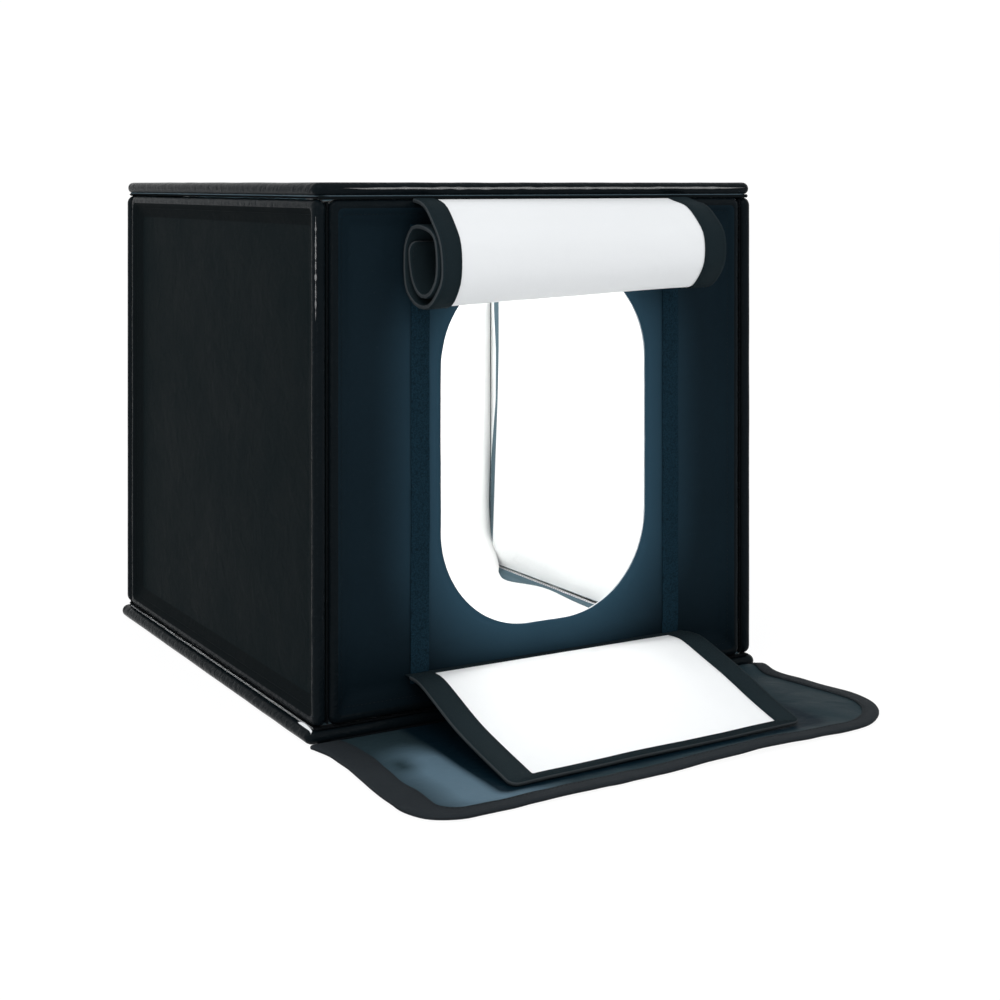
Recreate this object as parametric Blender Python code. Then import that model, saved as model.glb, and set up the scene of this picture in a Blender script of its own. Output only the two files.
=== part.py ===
"""Folding light tent cube with a front window, drawn standing open on a table.

Five framed walls fold about corded seams. The front wall has a window that two flaps close:
the upper one is curled up out of the way and the lower one lies down on the closure flap,
which wraps the folded walls when the tent is packed away.

Metres, +Z up, front towards -Y, origin at the centre of the cube's underside.
"""

import math

import bmesh
import bpy
from mathutils import Matrix, Vector

# The cube and how its walls are built up
CUBE_SIDE = 0.400
ROD_RADIUS = 0.0031
ROD_PLAY = 0.0009
COVER_THICK = 0.0010
LINING_THICK = 0.0006
BOARD_THICK = 0.0020
CLEAR = 0.0003
SEAM_GAP = 0.0020
CORNER_RADIUS = 0.012
SLOPE_WIDTH = 0.009
SLOPE_CORNER_RADIUS = 0.002
CORD_INSET = 0.0020
CUT_OVERRUN = 0.010

# The window in the front wall and the tapes beside it
WINDOW_WIDTH = 0.189
WINDOW_SHIFT = 0.002
WINDOW_SILL = 0.0625
WINDOW_TOP_GAP = 0.0612
WINDOW_RADIUS = 0.078
LOOP_TAPE_WIDTH = 0.0155
LOOP_TAPE_THICK = 0.0012
LOOP_TAPE_OFFSET = 0.1156

# Both window flaps: a white sheet in black edge tape, sewn a little to the right of the middle
FLAP_WIDTH = 0.255
FLAP_SHIFT = 0.005
FLAP_THICK = 0.0012
TAPE_WIDTH = 0.0195
END_TAPE_WIDTH = 0.005
TAPE_THICK = 0.0008
ROLL_DEPTH = 0.0457
ROLL_HEIGHT = 0.0769
ROLL_ROOT_OUT = 0.0002
ROLL_ROOT_RISE = 0.0039
LOWER_FLAP_REACH = 0.136
LOWER_HINGE_HEIGHT = 0.0380

# The closure flap in front of the bottom wall
CLOSURE_REACH = 0.164
CLOSURE_SKEW_SHARE = 0.067
CLOSURE_LEFT_RADIUS = 0.035
CLOSURE_RIGHT_RADIUS = 0.055
CLOSURE_HEM_WIDTH = 0.0205
CLOSURE_LEFT_FLARE = 0.0045
CLOSURE_RIGHT_FLARE = 0.018
CLOSURE_TAPE_WIDTH = 0.0030

# The shooting port in the top wall
PORT_RADIUS = 0.055
PORT_COVER_MARGIN = 0.018
PORT_COVER_THICK = 0.0012
PORT_PAD_THICK = 0.0010
PORT_PAD_WIDTH = 0.012

# Hook tape in the seams that come apart
SEAM_TAPE_WIDTH = 0.006
SEAM_TAPE_END_GAP = 0.040

# The white sweep inside
BACKDROP_THICK = 0.0010
BACKDROP_SIDE_GAP = 0.0035
BACKDROP_RADIUS = 0.070
BACKDROP_FRONT_GAP = 0.012
BACKDROP_TOP_GAP = 0.030
BACKDROP_PAD_INSET = 0.031
BACKDROP_PAD_HEIGHT = 0.020
BACKDROP_PAD_THICK = 0.0014

# The two light bars under the top wall
BAR_END_GAP = 0.025
BAR_WIDTH = 0.020
BAR_HEIGHT = 0.008
BAR_WALL = 0.0012
BAR_AXIS_DROP = 0.0160
BAR_FRONT_GAP = 0.050
BAR_REAR_GAP = 0.080
STRIP_THICK = 0.0012
CHIP_LENGTH = 0.0050
CHIP_WIDTH = 0.0040
CHIP_THICK = 0.0009
CHIP_COUNT = 24
CAP_THICK = 0.0020
PIVOT_RADIUS = 0.0020
BRACKET_THICK = 0.0015
BRACKET_WIDTH = 0.012
BRACKET_FOOT = 0.012
SOCKET_RADIUS = 0.0040
SOCKET_BORE_RADIUS = 0.0027
SOCKET_LENGTH = 0.012

# How finely round things are divided
CORNER_STEPS = 4
WINDOW_STEPS = 8
ROD_RESOLUTION = 2
ROUND_SIDES = 24
CURVE_STEPS = 2
FLAP_COLUMNS = 8
FLARE_STEPS = 8

# Forward and downward places along the curled upper flap, at its left end and at its right
# end, as shares of ROLL_DEPTH and ROLL_HEIGHT
ROLL_LEFT_SHARES = (
    (0.000, 0.000), (0.109, 0.010), (0.218, 0.026), (0.409, 0.080),
    (0.676, 0.278), (0.794, 0.396), (0.831, 0.574), (0.803, 0.753),
    (0.684, 0.889), (0.511, 1.000), (0.195, 0.977), (-0.019, 0.800),
    (-0.060, 0.593), (-0.050, 0.405), (0.035, 0.283), (0.144, 0.243),
)
ROLL_RIGHT_SHARES = (
    (0.000, 0.000), (0.218, 0.037), (0.427, 0.061), (0.618, 0.122),
    (0.878, 0.274), (0.968, 0.367), (0.995, 0.513), (0.958, 0.645),
    (0.836, 0.757), (0.626, 0.876), (0.367, 0.870), (0.171, 0.731),
    (0.132, 0.579), (0.146, 0.427), (0.235, 0.314), (0.343, 0.274),
)
# The same along the lower flap, as shares of its reach and its drop
RAMP_LEFT_SHARES = (
    (0.000, 0.000), (0.056, -0.003), (0.132, 0.042), (0.290, 0.273),
    (0.412, 0.457), (0.533, 0.611), (0.766, 0.819), (1.000, 1.000),
)
RAMP_RIGHT_SHARES = (
    (0.000, 0.000), (0.059, -0.012), (0.125, -0.009), (0.263, 0.148),
    (0.393, 0.294), (0.516, 0.439), (0.732, 0.757), (0.945, 1.000),
)
# Where along the closure flap's reach each side starts and stops swinging out
LEFT_FLARE_SHARES = (0.20, 0.65)
RIGHT_FLARE_SHARES = (0.03, 0.42)
# Directions round a bead where its outline turns, in degrees from the panel's own direction
BEAD_ANGLES = (250, 215, 180, 140, 100, 80, 45)

# Worked out from the sizes above
HALF = CUBE_SIDE / 2
BEAD_RADIUS = ROD_RADIUS + ROD_PLAY + COVER_THICK
WALL_THICK = 2 * BEAD_RADIUS
PANEL_INSET = 2 * BEAD_RADIUS + SLOPE_WIDTH
BOARD_INSET = BEAD_RADIUS + ROD_RADIUS + CLEAR
LINING_INSET = BEAD_RADIUS * (1 + math.cos(math.radians(BEAD_ANGLES[0]))) + COVER_THICK
BOARDED_PANEL_HEIGHT = LINING_THICK + CLEAR + BOARD_THICK + CLEAR + COVER_THICK
BARE_PANEL_HEIGHT = LINING_THICK + CLEAR + COVER_THICK
WALL_STEP = WALL_THICK + SEAM_GAP
WALL_HEIGHT = CUBE_SIDE - 2 * WALL_STEP
CORD_RADIUS = (
    math.hypot(BEAD_RADIUS - CORD_INSET, BEAD_RADIUS + SEAM_GAP / 2) - BEAD_RADIUS - CLEAR
)
HINGE_OUT = HALF - CORD_INSET
HINGE_LOW = WALL_THICK + SEAM_GAP / 2
HINGE_HIGH = CUBE_SIDE - HINGE_LOW
HINGE_BACK = HALF - WALL_THICK - SEAM_GAP / 2
SEAM_TAPE_THICK = SEAM_GAP - 2 * CLEAR
FRONT_PANEL_Y = -HALF + WALL_THICK - BARE_PANEL_HEIGHT
EDGE_HALF_THICK = FLAP_THICK / 2 + CLEAR + TAPE_THICK
UPPER_HINGE_Y = -HALF - ROLL_ROOT_OUT
UPPER_HINGE_Z = CUBE_SIDE - WALL_STEP - BEAD_RADIUS + ROLL_ROOT_RISE
LOWER_HINGE_Y = -HALF - CLEAR
FLAP_LEFT, FLAP_RIGHT = FLAP_SHIFT - FLAP_WIDTH / 2, FLAP_SHIFT + FLAP_WIDTH / 2
CLOSURE_MID_Z = EDGE_HALF_THICK
CLOSURE_HINGE_Y = -HALF - CLEAR - TAPE_THICK - CLEAR - EDGE_HALF_THICK
LOWER_FLAP_DROP = (
    LOWER_HINGE_HEIGHT - CLOSURE_MID_Z - FLAP_THICK / 2 - CLEAR - EDGE_HALF_THICK
)
TOP_LINING_Z = CUBE_SIDE - WALL_THICK
INNER_HALF = HALF - WALL_THICK
WINDOW_HEIGHT = CUBE_SIDE - WINDOW_SILL - WINDOW_TOP_GAP
BACKDROP_WIDTH = 2 * (INNER_HALF - BACKDROP_SIDE_GAP)
BACKDROP_PAD_WIDTH = BACKDROP_WIDTH - 2 * BACKDROP_PAD_INSET
BAR_LENGTH = 2 * (INNER_HALF - BAR_END_GAP)
BAR_PLACES = (
    ("front_bar", BAR_FRONT_GAP - INNER_HALF),
    ("rear_bar", INNER_HALF - BAR_REAR_GAP),
)
PORT_LID_HIGH = (
    TOP_LINING_Z + BOARDED_PANEL_HEIGHT + CLEAR + PORT_PAD_THICK + CLEAR + PORT_COVER_THICK
)
BAR_AXIS_Z = TOP_LINING_Z - BAR_AXIS_DROP


def clear_scene():
    for item in list(bpy.data.objects):
        bpy.data.objects.remove(item)


def make_material(name, colour, roughness, metallic=0.0):
    material = bpy.data.materials.new(name)
    material.use_nodes = True
    shader = material.node_tree.nodes["Principled BSDF"]
    shader.inputs["Base Color"].default_value = (*colour, 1.0)
    shader.inputs["Roughness"].default_value = roughness
    shader.inputs["Metallic"].default_value = metallic
    return material


def make_materials():
    return {
        "cover": make_material("Black coated cloth", (0.012, 0.015, 0.018), 0.38),
        "tape": make_material("Black woven tape", (0.010, 0.012, 0.014), 0.62),
        "cord": make_material("Black seam cord", (0.008, 0.010, 0.012), 0.30),
        "lining": make_material("White reflecting lining", (0.86, 0.88, 0.90), 0.45),
        "sheet": make_material("White flap sheet", (0.88, 0.89, 0.89), 0.50),
        "board": make_material("Grey plastic board", (0.35, 0.36, 0.38), 0.60),
        "rod": make_material("Black frame rod", (0.03, 0.03, 0.03), 0.40),
        "aluminium": make_material("Extruded aluminium", (0.75, 0.76, 0.78), 0.35, 1.0),
        "circuit": make_material("White circuit strip", (0.80, 0.82, 0.80), 0.45),
        "chip": make_material("Light chip", (0.95, 0.90, 0.60), 0.30),
        "plastic": make_material("Black moulded plastic", (0.02, 0.02, 0.02), 0.45),
    }


def empty_at(name, place, parent=None):
    """An empty on a joint's axis, which the pieces of the body that turns there hang from."""
    empty = bpy.data.objects.new(name, None)
    empty.empty_display_size = WALL_THICK
    bpy.context.scene.collection.objects.link(empty)
    empty.matrix_world = Matrix.Translation(place)
    if parent:
        empty.parent = parent
        empty.matrix_parent_inverse = parent.matrix_world.inverted()
    bpy.context.view_layer.update()
    return empty


def add_object(name, data, material, parent, world=None, smooth=True):
    obj = bpy.data.objects.new(name, data)
    bpy.context.scene.collection.objects.link(obj)
    data.materials.append(material)
    obj.matrix_world = world or Matrix.Identity(4)
    if parent:
        place = obj.matrix_world.copy()
        obj.parent = parent
        obj.matrix_parent_inverse = parent.matrix_world.inverted()
        obj.matrix_world = place
    if smooth and isinstance(data, bpy.types.Mesh):
        data.shade_smooth()
        data.set_sharp_from_angle(angle=math.radians(40))
    return obj


def mesh_from(bm, name):
    bmesh.ops.recalc_face_normals(bm, faces=bm.faces)
    mesh = bpy.data.meshes.new(name)
    bm.to_mesh(mesh)
    bm.free()
    return mesh


def rounded_rectangle(half_u, half_v, radius, steps):
    """Corner points of a rectangle with round corners, anticlockwise from its right side."""
    points = []
    for quarter, (sign_u, sign_v) in enumerate(((1, 1), (-1, 1), (-1, -1), (1, -1))):
        for step in range(steps + 1):
            angle = math.pi / 2 * (quarter + step / steps)
            points.append((
                sign_u * (half_u - radius) + radius * math.cos(angle),
                sign_v * (half_v - radius) + radius * math.sin(angle),
            ))
    return points


def bridge(bm, first, second, closed=True):
    """Quads between two rows of vertices."""
    count = len(first)
    for i in range(count if closed else count - 1):
        j = (i + 1) % count
        bm.faces.new((first[i], first[j], second[j], second[i]))


def slab_mesh(name, outline, low, high):
    """A flat plate: an outline in the XY plane, extruded from one height to another."""
    bm = bmesh.new()
    face = bm.faces.new([bm.verts.new((x, y, low)) for x, y in outline])
    top = bmesh.ops.extrude_face_region(bm, geom=[face])
    moved = [item for item in top["geom"] if isinstance(item, bmesh.types.BMVert)]
    bmesh.ops.translate(bm, verts=moved, vec=(0, 0, high - low))
    return mesh_from(bm, name)


def box_mesh(name, *boxes):
    """Boxes, each between two corners."""
    bm = bmesh.new()
    for low, high in boxes:
        low, high = Vector(low), Vector(high)
        size = high - low
        place = Matrix.Translation((low + high) / 2) @ Matrix.Diagonal((*size, 1))
        bmesh.ops.create_cube(bm, size=1, matrix=place)
    return mesh_from(bm, name)


def cutter(name, data, world=None):
    """A solid that only cuts: the build and a render leave it out."""
    obj = bpy.data.objects.new(name, data)
    bpy.context.scene.collection.objects.link(obj)
    obj.matrix_world = world or Matrix.Identity(4)
    obj.hide_render = True
    obj.display_type = "WIRE"
    return obj


def cut(obj, tool, operation="DIFFERENCE"):
    modifier = obj.modifiers.new("Shape", "BOOLEAN")
    modifier.operation = operation
    modifier.object = tool
    modifier.solver = "EXACT"


def solidify(obj, thickness, offset):
    modifier = obj.modifiers.new("Thickness", "SOLIDIFY")
    modifier.thickness = thickness
    modifier.offset = offset
    modifier.use_even_offset = True


def smooth_through(points, steps):
    """Points of a smooth curve through the given ones (a Catmull-Rom spline)."""
    ends = [2 * points[0] - points[1], *points, 2 * points[-1] - points[-2]]
    curve = []
    for i in range(1, len(ends) - 2):
        before, start, stop, after = ends[i - 1:i + 3]
        for step in range(steps):
            t = step / steps
            curve.append(0.5 * (
                2 * start
                + (stop - before) * t
                + (2 * before - 5 * start + 4 * stop - after) * t ** 2
                + (3 * start - before - 3 * stop + after) * t ** 3
            ))
    return curve + [points[-1]]


def sweep_mesh(name, section, stations):
    """A closed section carried along stations, each a place, an inward and an upward direction."""
    bm = bmesh.new()
    rows = [
        [bm.verts.new(place + inward * a + upward * b) for a, b in section]
        for place, inward, upward in stations
    ]
    for first, second in zip(rows, rows[1:]):
        bridge(bm, first, second)
    bm.faces.new(rows[0])
    bm.faces.new(rows[-1])
    return mesh_from(bm, name)


def line_reach(lines):
    """How far along a flap each point of its two end lines lies, taken between the two."""
    reach = [0.0]
    for i in range(1, len(lines[0])):
        steps = [(line[i] - line[i - 1]).length for line in lines]
        reach.append(reach[-1] + sum(steps) / len(steps))
    return reach


def line_normals(line):
    """The direction square to a line in the YZ plane at each of its points."""
    normals = []
    for i in range(len(line)):
        along = (line[min(i + 1, len(line) - 1)] - line[max(i - 1, 0)]).normalized()
        normals.append(Vector((-along.y, along.x)))
    return normals


def bend_mesh(mesh, lines):
    """Bends a flap, drawn flat along +Y from 0, to follow one line in the YZ plane at its left
    end and another at its right end, and to go evenly from one to the other between them."""
    reach = line_reach(lines)
    bm = bmesh.new()
    bm.from_mesh(mesh)
    planes = [((0, place, 0), (0, 1, 0)) for place in reach[1:-1]]
    for column in range(1, FLAP_COLUMNS):
        planes.append(((FLAP_LEFT + FLAP_WIDTH * column / FLAP_COLUMNS, 0, 0), (1, 0, 0)))
    for place, normal in planes:
        bmesh.ops.bisect_plane(
            bm, geom=bm.verts[:] + bm.edges[:] + bm.faces[:], dist=CLEAR / 100,
            plane_co=place, plane_no=normal,
        )
    ends = [(line, line_normals(line)) for line in lines]
    last = len(reach) - 1
    for vert in bm.verts:
        i = max(k for k in range(last) if k == 0 or reach[k] <= vert.co.y + CLEAR / 10)
        share = (vert.co.y - reach[i]) / (reach[i + 1] - reach[i])
        inside = min(max(share, 0), 1)
        across = (vert.co.x - FLAP_LEFT) / FLAP_WIDTH
        left, right = [
            line[i].lerp(line[i + 1], share)
            + normals[i].lerp(normals[i + 1], inside).normalized() * vert.co.z
            for line, normals in ends
        ]
        vert.co = (vert.co.x, *left.lerp(right, across))
    bm.to_mesh(mesh)
    bm.free()
    return mesh


def channel_section(width, half_slot, thickness):
    """A tape folded over an edge: a U that opens inward, with its fold at the outside."""
    outer = half_slot + thickness
    fold = -(CLEAR + thickness)
    return (
        (width, outer), (fold, outer), (fold, -outer), (width, -outer),
        (width, -half_slot), (-CLEAR, -half_slot), (-CLEAR, half_slot), (width, half_slot),
    )


def wall_matrix(outward, up, place):
    """Takes a wall's own u, v, w directions to its place: w points out of the cube."""
    outward, up = Vector(outward), Vector(up)
    turn = Matrix((up.cross(outward), up, outward)).transposed().to_4x4()
    return Matrix.Translation(place) @ turn


def beaded_panel_mesh(name, half_u, half_v, panel_height):
    """Outer surface of a wall's cloth: a round bead along the edges and a sunken panel inside."""
    turns = [math.radians(degrees) for degrees in BEAD_ANGLES]
    profile = [
        (BEAD_RADIUS + BEAD_RADIUS * math.cos(turn), BEAD_RADIUS + BEAD_RADIUS * math.sin(turn))
        for turn in turns
    ]
    profile.append((PANEL_INSET, panel_height))
    bm = bmesh.new()
    rows = []
    for inset, height in profile:
        radius = max(CORNER_RADIUS - inset, SLOPE_CORNER_RADIUS)
        loop = rounded_rectangle(half_u - inset, half_v - inset, radius, CORNER_STEPS)
        rows.append([bm.verts.new((u, v, height)) for u, v in loop])
    for first, second in zip(rows, rows[1:]):
        bridge(bm, first, second)
    bm.faces.new(rows[-1])
    mesh = bpy.data.meshes.new(name)
    bm.to_mesh(mesh)
    bm.free()
    return mesh


def frame_curve(name, half_u, half_v):
    """The closed rod hoop inside a wall's bead."""
    curve = bpy.data.curves.new(name, "CURVE")
    curve.dimensions = "3D"
    curve.bevel_depth = ROD_RADIUS
    curve.bevel_resolution = ROD_RESOLUTION
    loop = rounded_rectangle(
        half_u - BEAD_RADIUS, half_v - BEAD_RADIUS, CORNER_RADIUS - BEAD_RADIUS, CORNER_STEPS
    )
    spline = curve.splines.new("POLY")
    spline.points.add(len(loop) - 1)
    for point, (u, v) in zip(spline.points, loop):
        point.co = (u, v, BEAD_RADIUS, 1)
    spline.use_cyclic_u = True
    return curve


def plate_outline(half_u, half_v, inset):
    radius = max(CORNER_RADIUS - inset, SLOPE_CORNER_RADIUS)
    return rounded_rectangle(half_u - inset, half_v - inset, radius, CORNER_STEPS)


def build_wall(name, half_u, half_v, world, parent, materials, tools=(), boarded=True):
    """One wall: beaded cloth outside, rod hoop, stiffening board and lining inside."""
    height = BOARDED_PANEL_HEIGHT if boarded else BARE_PANEL_HEIGHT
    cover = add_object(
        f"{name}_cover", beaded_panel_mesh(name, half_u, half_v, height),
        materials["cover"], parent, world,
    )
    solidify(cover, COVER_THICK, -1)
    add_object(
        f"{name}_frame", frame_curve(name, half_u, half_v), materials["rod"], parent, world
    )
    lining = add_object(
        f"{name}_lining",
        slab_mesh(name, plate_outline(half_u, half_v, LINING_INSET), 0, LINING_THICK),
        materials["lining"], parent, world,
    )
    layers = [cover, lining]
    if boarded:
        low = LINING_THICK + CLEAR
        board = add_object(
            f"{name}_board",
            slab_mesh(name, plate_outline(half_u, half_v, BOARD_INSET), low, low + BOARD_THICK),
            materials["board"], parent, world,
        )
        layers.append(board)
    for layer in layers:
        for tool in tools:
            cut(layer, tool)


def build_bottom_wall(parent, materials):
    """The bottom wall lies flat on the table, so its bead and its lining are on the inside."""
    base = slab_mesh("base", plate_outline(HALF, HALF, LINING_INSET), 0, LINING_THICK)
    add_object("bottom_wall_base", base, materials["cover"], parent)
    cover = add_object(
        "bottom_wall_cover", beaded_panel_mesh("bottom", HALF, HALF, BOARDED_PANEL_HEIGHT),
        materials["cover"], parent,
    )
    solidify(cover, COVER_THICK, -1)
    add_object(
        "bottom_wall_frame", frame_curve("bottom", HALF, HALF), materials["rod"], parent
    )
    low = LINING_THICK + CLEAR
    board = slab_mesh("bottom", plate_outline(HALF, HALF, BOARD_INSET), low, low + BOARD_THICK)
    add_object("bottom_wall_board", board, materials["board"], parent)
    low = BOARDED_PANEL_HEIGHT + CLEAR
    lining = slab_mesh(
        "lining", plate_outline(HALF, HALF, PANEL_INSET + CLEAR), low, low + LINING_THICK
    )
    add_object("bottom_wall_lining", lining, materials["lining"], parent)


def build_seam_cord(name, start, end, parent, materials):
    """The cord sewn into a folding seam. The walls on both sides of it turn about its line."""
    curve = bpy.data.curves.new(name, "CURVE")
    curve.dimensions = "3D"
    curve.bevel_depth = CORD_RADIUS
    curve.bevel_resolution = ROD_RESOLUTION
    curve.use_fill_caps = True
    spline = curve.splines.new("POLY")
    spline.points.add(1)
    spline.points[0].co = (*start, 1)
    spline.points[1].co = (*end, 1)
    add_object(name, curve, materials["cord"], parent)


def build_seam_tapes(bodies, materials):
    """Hook tape between the walls that only stick together, short of the cube's corners."""
    run = HALF - SEAM_TAPE_END_GAP
    side = HALF - BEAD_RADIUS
    half_width = SEAM_TAPE_WIDTH / 2
    inner, outer = side - half_width, side + half_width
    low = WALL_THICK + CLEAR
    outline = [
        (-outer, run), (-outer, -outer), (outer, -outer), (outer, run),
        (inner, run), (inner, -inner), (-inner, -inner), (-inner, run),
    ]
    tape = slab_mesh("bottom_seam", outline, low, low + SEAM_TAPE_THICK)
    add_object("bottom_seam_tape", tape, materials["tape"], bodies["bottom"])
    top_low = CUBE_SIDE - WALL_STEP + CLEAR
    near_x = HALF - WALL_STEP + CLEAR
    for name, sign in (("left", -1), ("right", 1)):
        start, stop = sorted((sign * inner, sign * outer))
        tape = box_mesh("top", ((start, -run, top_low), (stop, run, top_low + SEAM_TAPE_THICK)))
        add_object(f"top_seam_{name}_tape", tape, materials["tape"], bodies["top"])
        start, stop = sorted((sign * near_x, sign * (near_x + SEAM_TAPE_THICK)))
        tall = SEAM_TAPE_END_GAP
        tape = box_mesh("front", ((start, -outer, tall), (stop, -inner, CUBE_SIDE - tall)))
        add_object(f"front_seam_{name}_tape", tape, materials["tape"], bodies["front"])


def build_window_tapes(parent, materials):
    """Loop tape up both sides of the window, where the flaps stick when they are closed."""
    far = FRONT_PANEL_Y - CLEAR
    near = far - LOOP_TAPE_THICK
    low = WALL_STEP + PANEL_INSET
    high = CUBE_SIDE - low
    for name, sign in (("left", -1), ("right", 1)):
        middle = FLAP_SHIFT + sign * LOOP_TAPE_OFFSET
        start, stop = middle - LOOP_TAPE_WIDTH / 2, middle + LOOP_TAPE_WIDTH / 2
        mesh = box_mesh("window", ((start, near, low), (stop, far, high)))
        add_object(f"window_{name}_loop_tape", mesh, materials["tape"], parent)


def flap_hem_mesh(name, length):
    """The flat hem of a window flap: a wide tape folded over both sides, and a narrow one at
    the free end."""
    sides = channel_section(TAPE_WIDTH, FLAP_THICK / 2 + CLEAR, TAPE_THICK)
    ends = channel_section(END_TAPE_WIDTH, FLAP_THICK / 2 + CLEAR, TAPE_THICK)
    bm = bmesh.new()
    rows = []
    for edge, inward, free in (
        (FLAP_LEFT, 1, False), (FLAP_LEFT, 1, True), (FLAP_RIGHT, -1, True), (FLAP_RIGHT, -1, False)
    ):
        rows.append([
            bm.verts.new((edge + inward * side, length - end if free else 0, height))
            for (side, height), (end, _) in zip(sides, ends)
        ])
    for first, second in zip(rows, rows[1:]):
        bridge(bm, first, second)
    bm.faces.new(rows[0])
    bm.faces.new(rows[-1])
    return mesh_from(bm, name)


def build_window_flap(name, lines, parent, materials):
    """A white sheet between two curved end lines, with its hem."""
    length = line_reach(lines)[-1]
    sheet = slab_mesh(
        name, [(FLAP_LEFT, 0), (FLAP_RIGHT, 0), (FLAP_RIGHT, length), (FLAP_LEFT, length)],
        -FLAP_THICK / 2, FLAP_THICK / 2,
    )
    add_object(f"{name}_sheet", bend_mesh(sheet, lines), materials["sheet"], parent)
    hem = bend_mesh(flap_hem_mesh(name, length), lines)
    add_object(f"{name}_edge_tape", hem, materials["tape"], parent)


def flap_lines(ends, depth, drop, hinge_y, hinge_z):
    """A flap's left and right end lines, out from its hinge."""
    lines = []
    for shares in ends:
        points = [Vector((hinge_y - f * depth, hinge_z - d * drop)) for f, d in shares]
        lines.append(smooth_through(points, CURVE_STEPS))
    return lines


def build_lower_flap_root(parent, materials):
    """The tape that carries the lower flap: out from the front wall's cloth to the flap's hinge."""
    low, high = LOWER_HINGE_HEIGHT - TAPE_THICK / 2, LOWER_HINGE_HEIGHT + TAPE_THICK / 2
    near = LOWER_HINGE_Y + FLAP_THICK / 2
    middle, far = FRONT_PANEL_Y - LOOP_TAPE_THICK - 2 * CLEAR, FRONT_PANEL_Y - CLEAR
    half = LOOP_TAPE_OFFSET - LOOP_TAPE_WIDTH / 2 - CLEAR
    left, right = FLAP_SHIFT - half, FLAP_SHIFT + half
    mesh = slab_mesh("root", [
        (FLAP_LEFT, near), (FLAP_RIGHT, near), (FLAP_RIGHT, middle), (right, middle),
        (right, far), (left, far), (left, middle), (FLAP_LEFT, middle),
    ], low, high)
    add_object("lower_flap_root_tape", mesh, materials["tape"], parent)


def flared(x, y):
    """A point of the closure flap's edge, moved out as its side swings away from the cube, and
    in where the flap is cut shorter towards its right end."""
    if x < 0:
        flare, (start, stop) = -CLOSURE_LEFT_FLARE, LEFT_FLARE_SHARES
    else:
        flare, (start, stop) = CLOSURE_RIGHT_FLARE, RIGHT_FLARE_SHARES
    out = -HALF - y
    share = min(max((out / CLOSURE_REACH - start) / (stop - start), 0), 1)
    out *= 1 - CLOSURE_SKEW_SHARE * (x + HALF) / CUBE_SIDE
    return Vector((x + flare * share * share * (3 - 2 * share), -HALF - out, CLOSURE_MID_Z))


def closure_path(rear):
    """The closure flap's edge, from its left rear end round both corners to its right rear end."""
    front = -HALF - CLOSURE_REACH
    points = []
    for sign, radius in ((-1, CLOSURE_LEFT_RADIUS), (1, CLOSURE_RIGHT_RADIUS)):
        straight = front + radius - rear
        side = [(sign * HALF, rear + straight * i / FLARE_STEPS) for i in range(FLARE_STEPS)]
        for step in range(WINDOW_STEPS + 1):
            angle = math.pi / 2 * step / WINDOW_STEPS
            across = sign * (HALF - radius + radius * math.cos(angle))
            side.append((across, front + radius - radius * math.sin(angle)))
        points += side if sign < 0 else reversed(side)
    return [flared(x, y) for x, y in points]


def build_closure_flap(parent, bottom, materials):
    """The cloth flap on the table in front, hemmed with folded tape."""
    path = closure_path(CLOSURE_HINGE_Y - 2 * EDGE_HALF_THICK)
    rear = CLOSURE_HINGE_Y + EDGE_HALF_THICK - CLEAR
    outline = [(p.x, p.y) for p in path] + [(HALF, rear), (-HALF, rear)]
    low = CLOSURE_MID_Z - FLAP_THICK / 2
    sheet = slab_mesh("closure", outline, low, low + FLAP_THICK)
    add_object("closure_flap_sheet", sheet, materials["cover"], parent)
    up = Vector((0, 0, 1))
    stations = [(path[0], Vector((1, 0, 0)), up)]
    for before, place, after in zip(path, path[1:], path[2:]):
        stations.append((place, up.cross(after - before).normalized(), up))
    stations.append((path[-1], Vector((-1, 0, 0)), up))
    section = channel_section(CLOSURE_HEM_WIDTH, FLAP_THICK / 2 + CLEAR, TAPE_THICK)
    add_object(
        "closure_flap_hem", sweep_mesh("hem", section, stations), materials["tape"], parent
    )
    inset = CORNER_RADIUS
    far = -HALF - CLEAR
    tape = ((-HALF + inset, far - TAPE_THICK, 0), (HALF - inset, far, CLOSURE_TAPE_WIDTH))
    add_object(
        "closure_flap_seam_tape", box_mesh("seam", tape), materials["tape"], bottom
    )


def ring_mesh(name, inner, outer, low, high):
    """A flat ring, turned about Z from its rectangular section."""
    bm = bmesh.new()
    corners = [bm.verts.new(place) for place in (
        (inner, 0, low), (outer, 0, low), (outer, 0, high), (inner, 0, high)
    )]
    edges = [bm.edges.new((corners[i], corners[(i + 1) % 4])) for i in range(4)]
    bmesh.ops.spin(
        bm, geom=corners + edges, cent=(0, 0, 0), axis=(0, 0, 1), dvec=(0, 0, 0),
        angle=2 * math.pi, steps=ROUND_SIDES, use_merge=True,
    )
    bmesh.ops.remove_doubles(bm, verts=bm.verts, dist=CLEAR / 10)
    return mesh_from(bm, name)


def disc_outline(radius):
    turn = 2 * math.pi / ROUND_SIDES
    return [(radius * math.cos(i * turn), radius * math.sin(i * turn)) for i in range(ROUND_SIDES)]


def build_port_cover(parent, top, materials):
    """The round cloth lid over the top wall's port, on a ring of hook tape, sewn at the back."""
    panel = TOP_LINING_Z + BOARDED_PANEL_HEIGHT
    low = panel + CLEAR
    ring_inner = PORT_RADIUS + CLEAR
    ring = ring_mesh("pad", ring_inner, ring_inner + PORT_PAD_WIDTH, low, low + PORT_PAD_THICK)
    add_object("top_port_hook_ring", ring, materials["tape"], top)
    outline = disc_outline(PORT_RADIUS + PORT_COVER_MARGIN)
    lid = slab_mesh("lid", outline, PORT_LID_HIGH - PORT_COVER_THICK, PORT_LID_HIGH)
    add_object("top_port_lid", lid, materials["cover"], parent)


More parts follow.
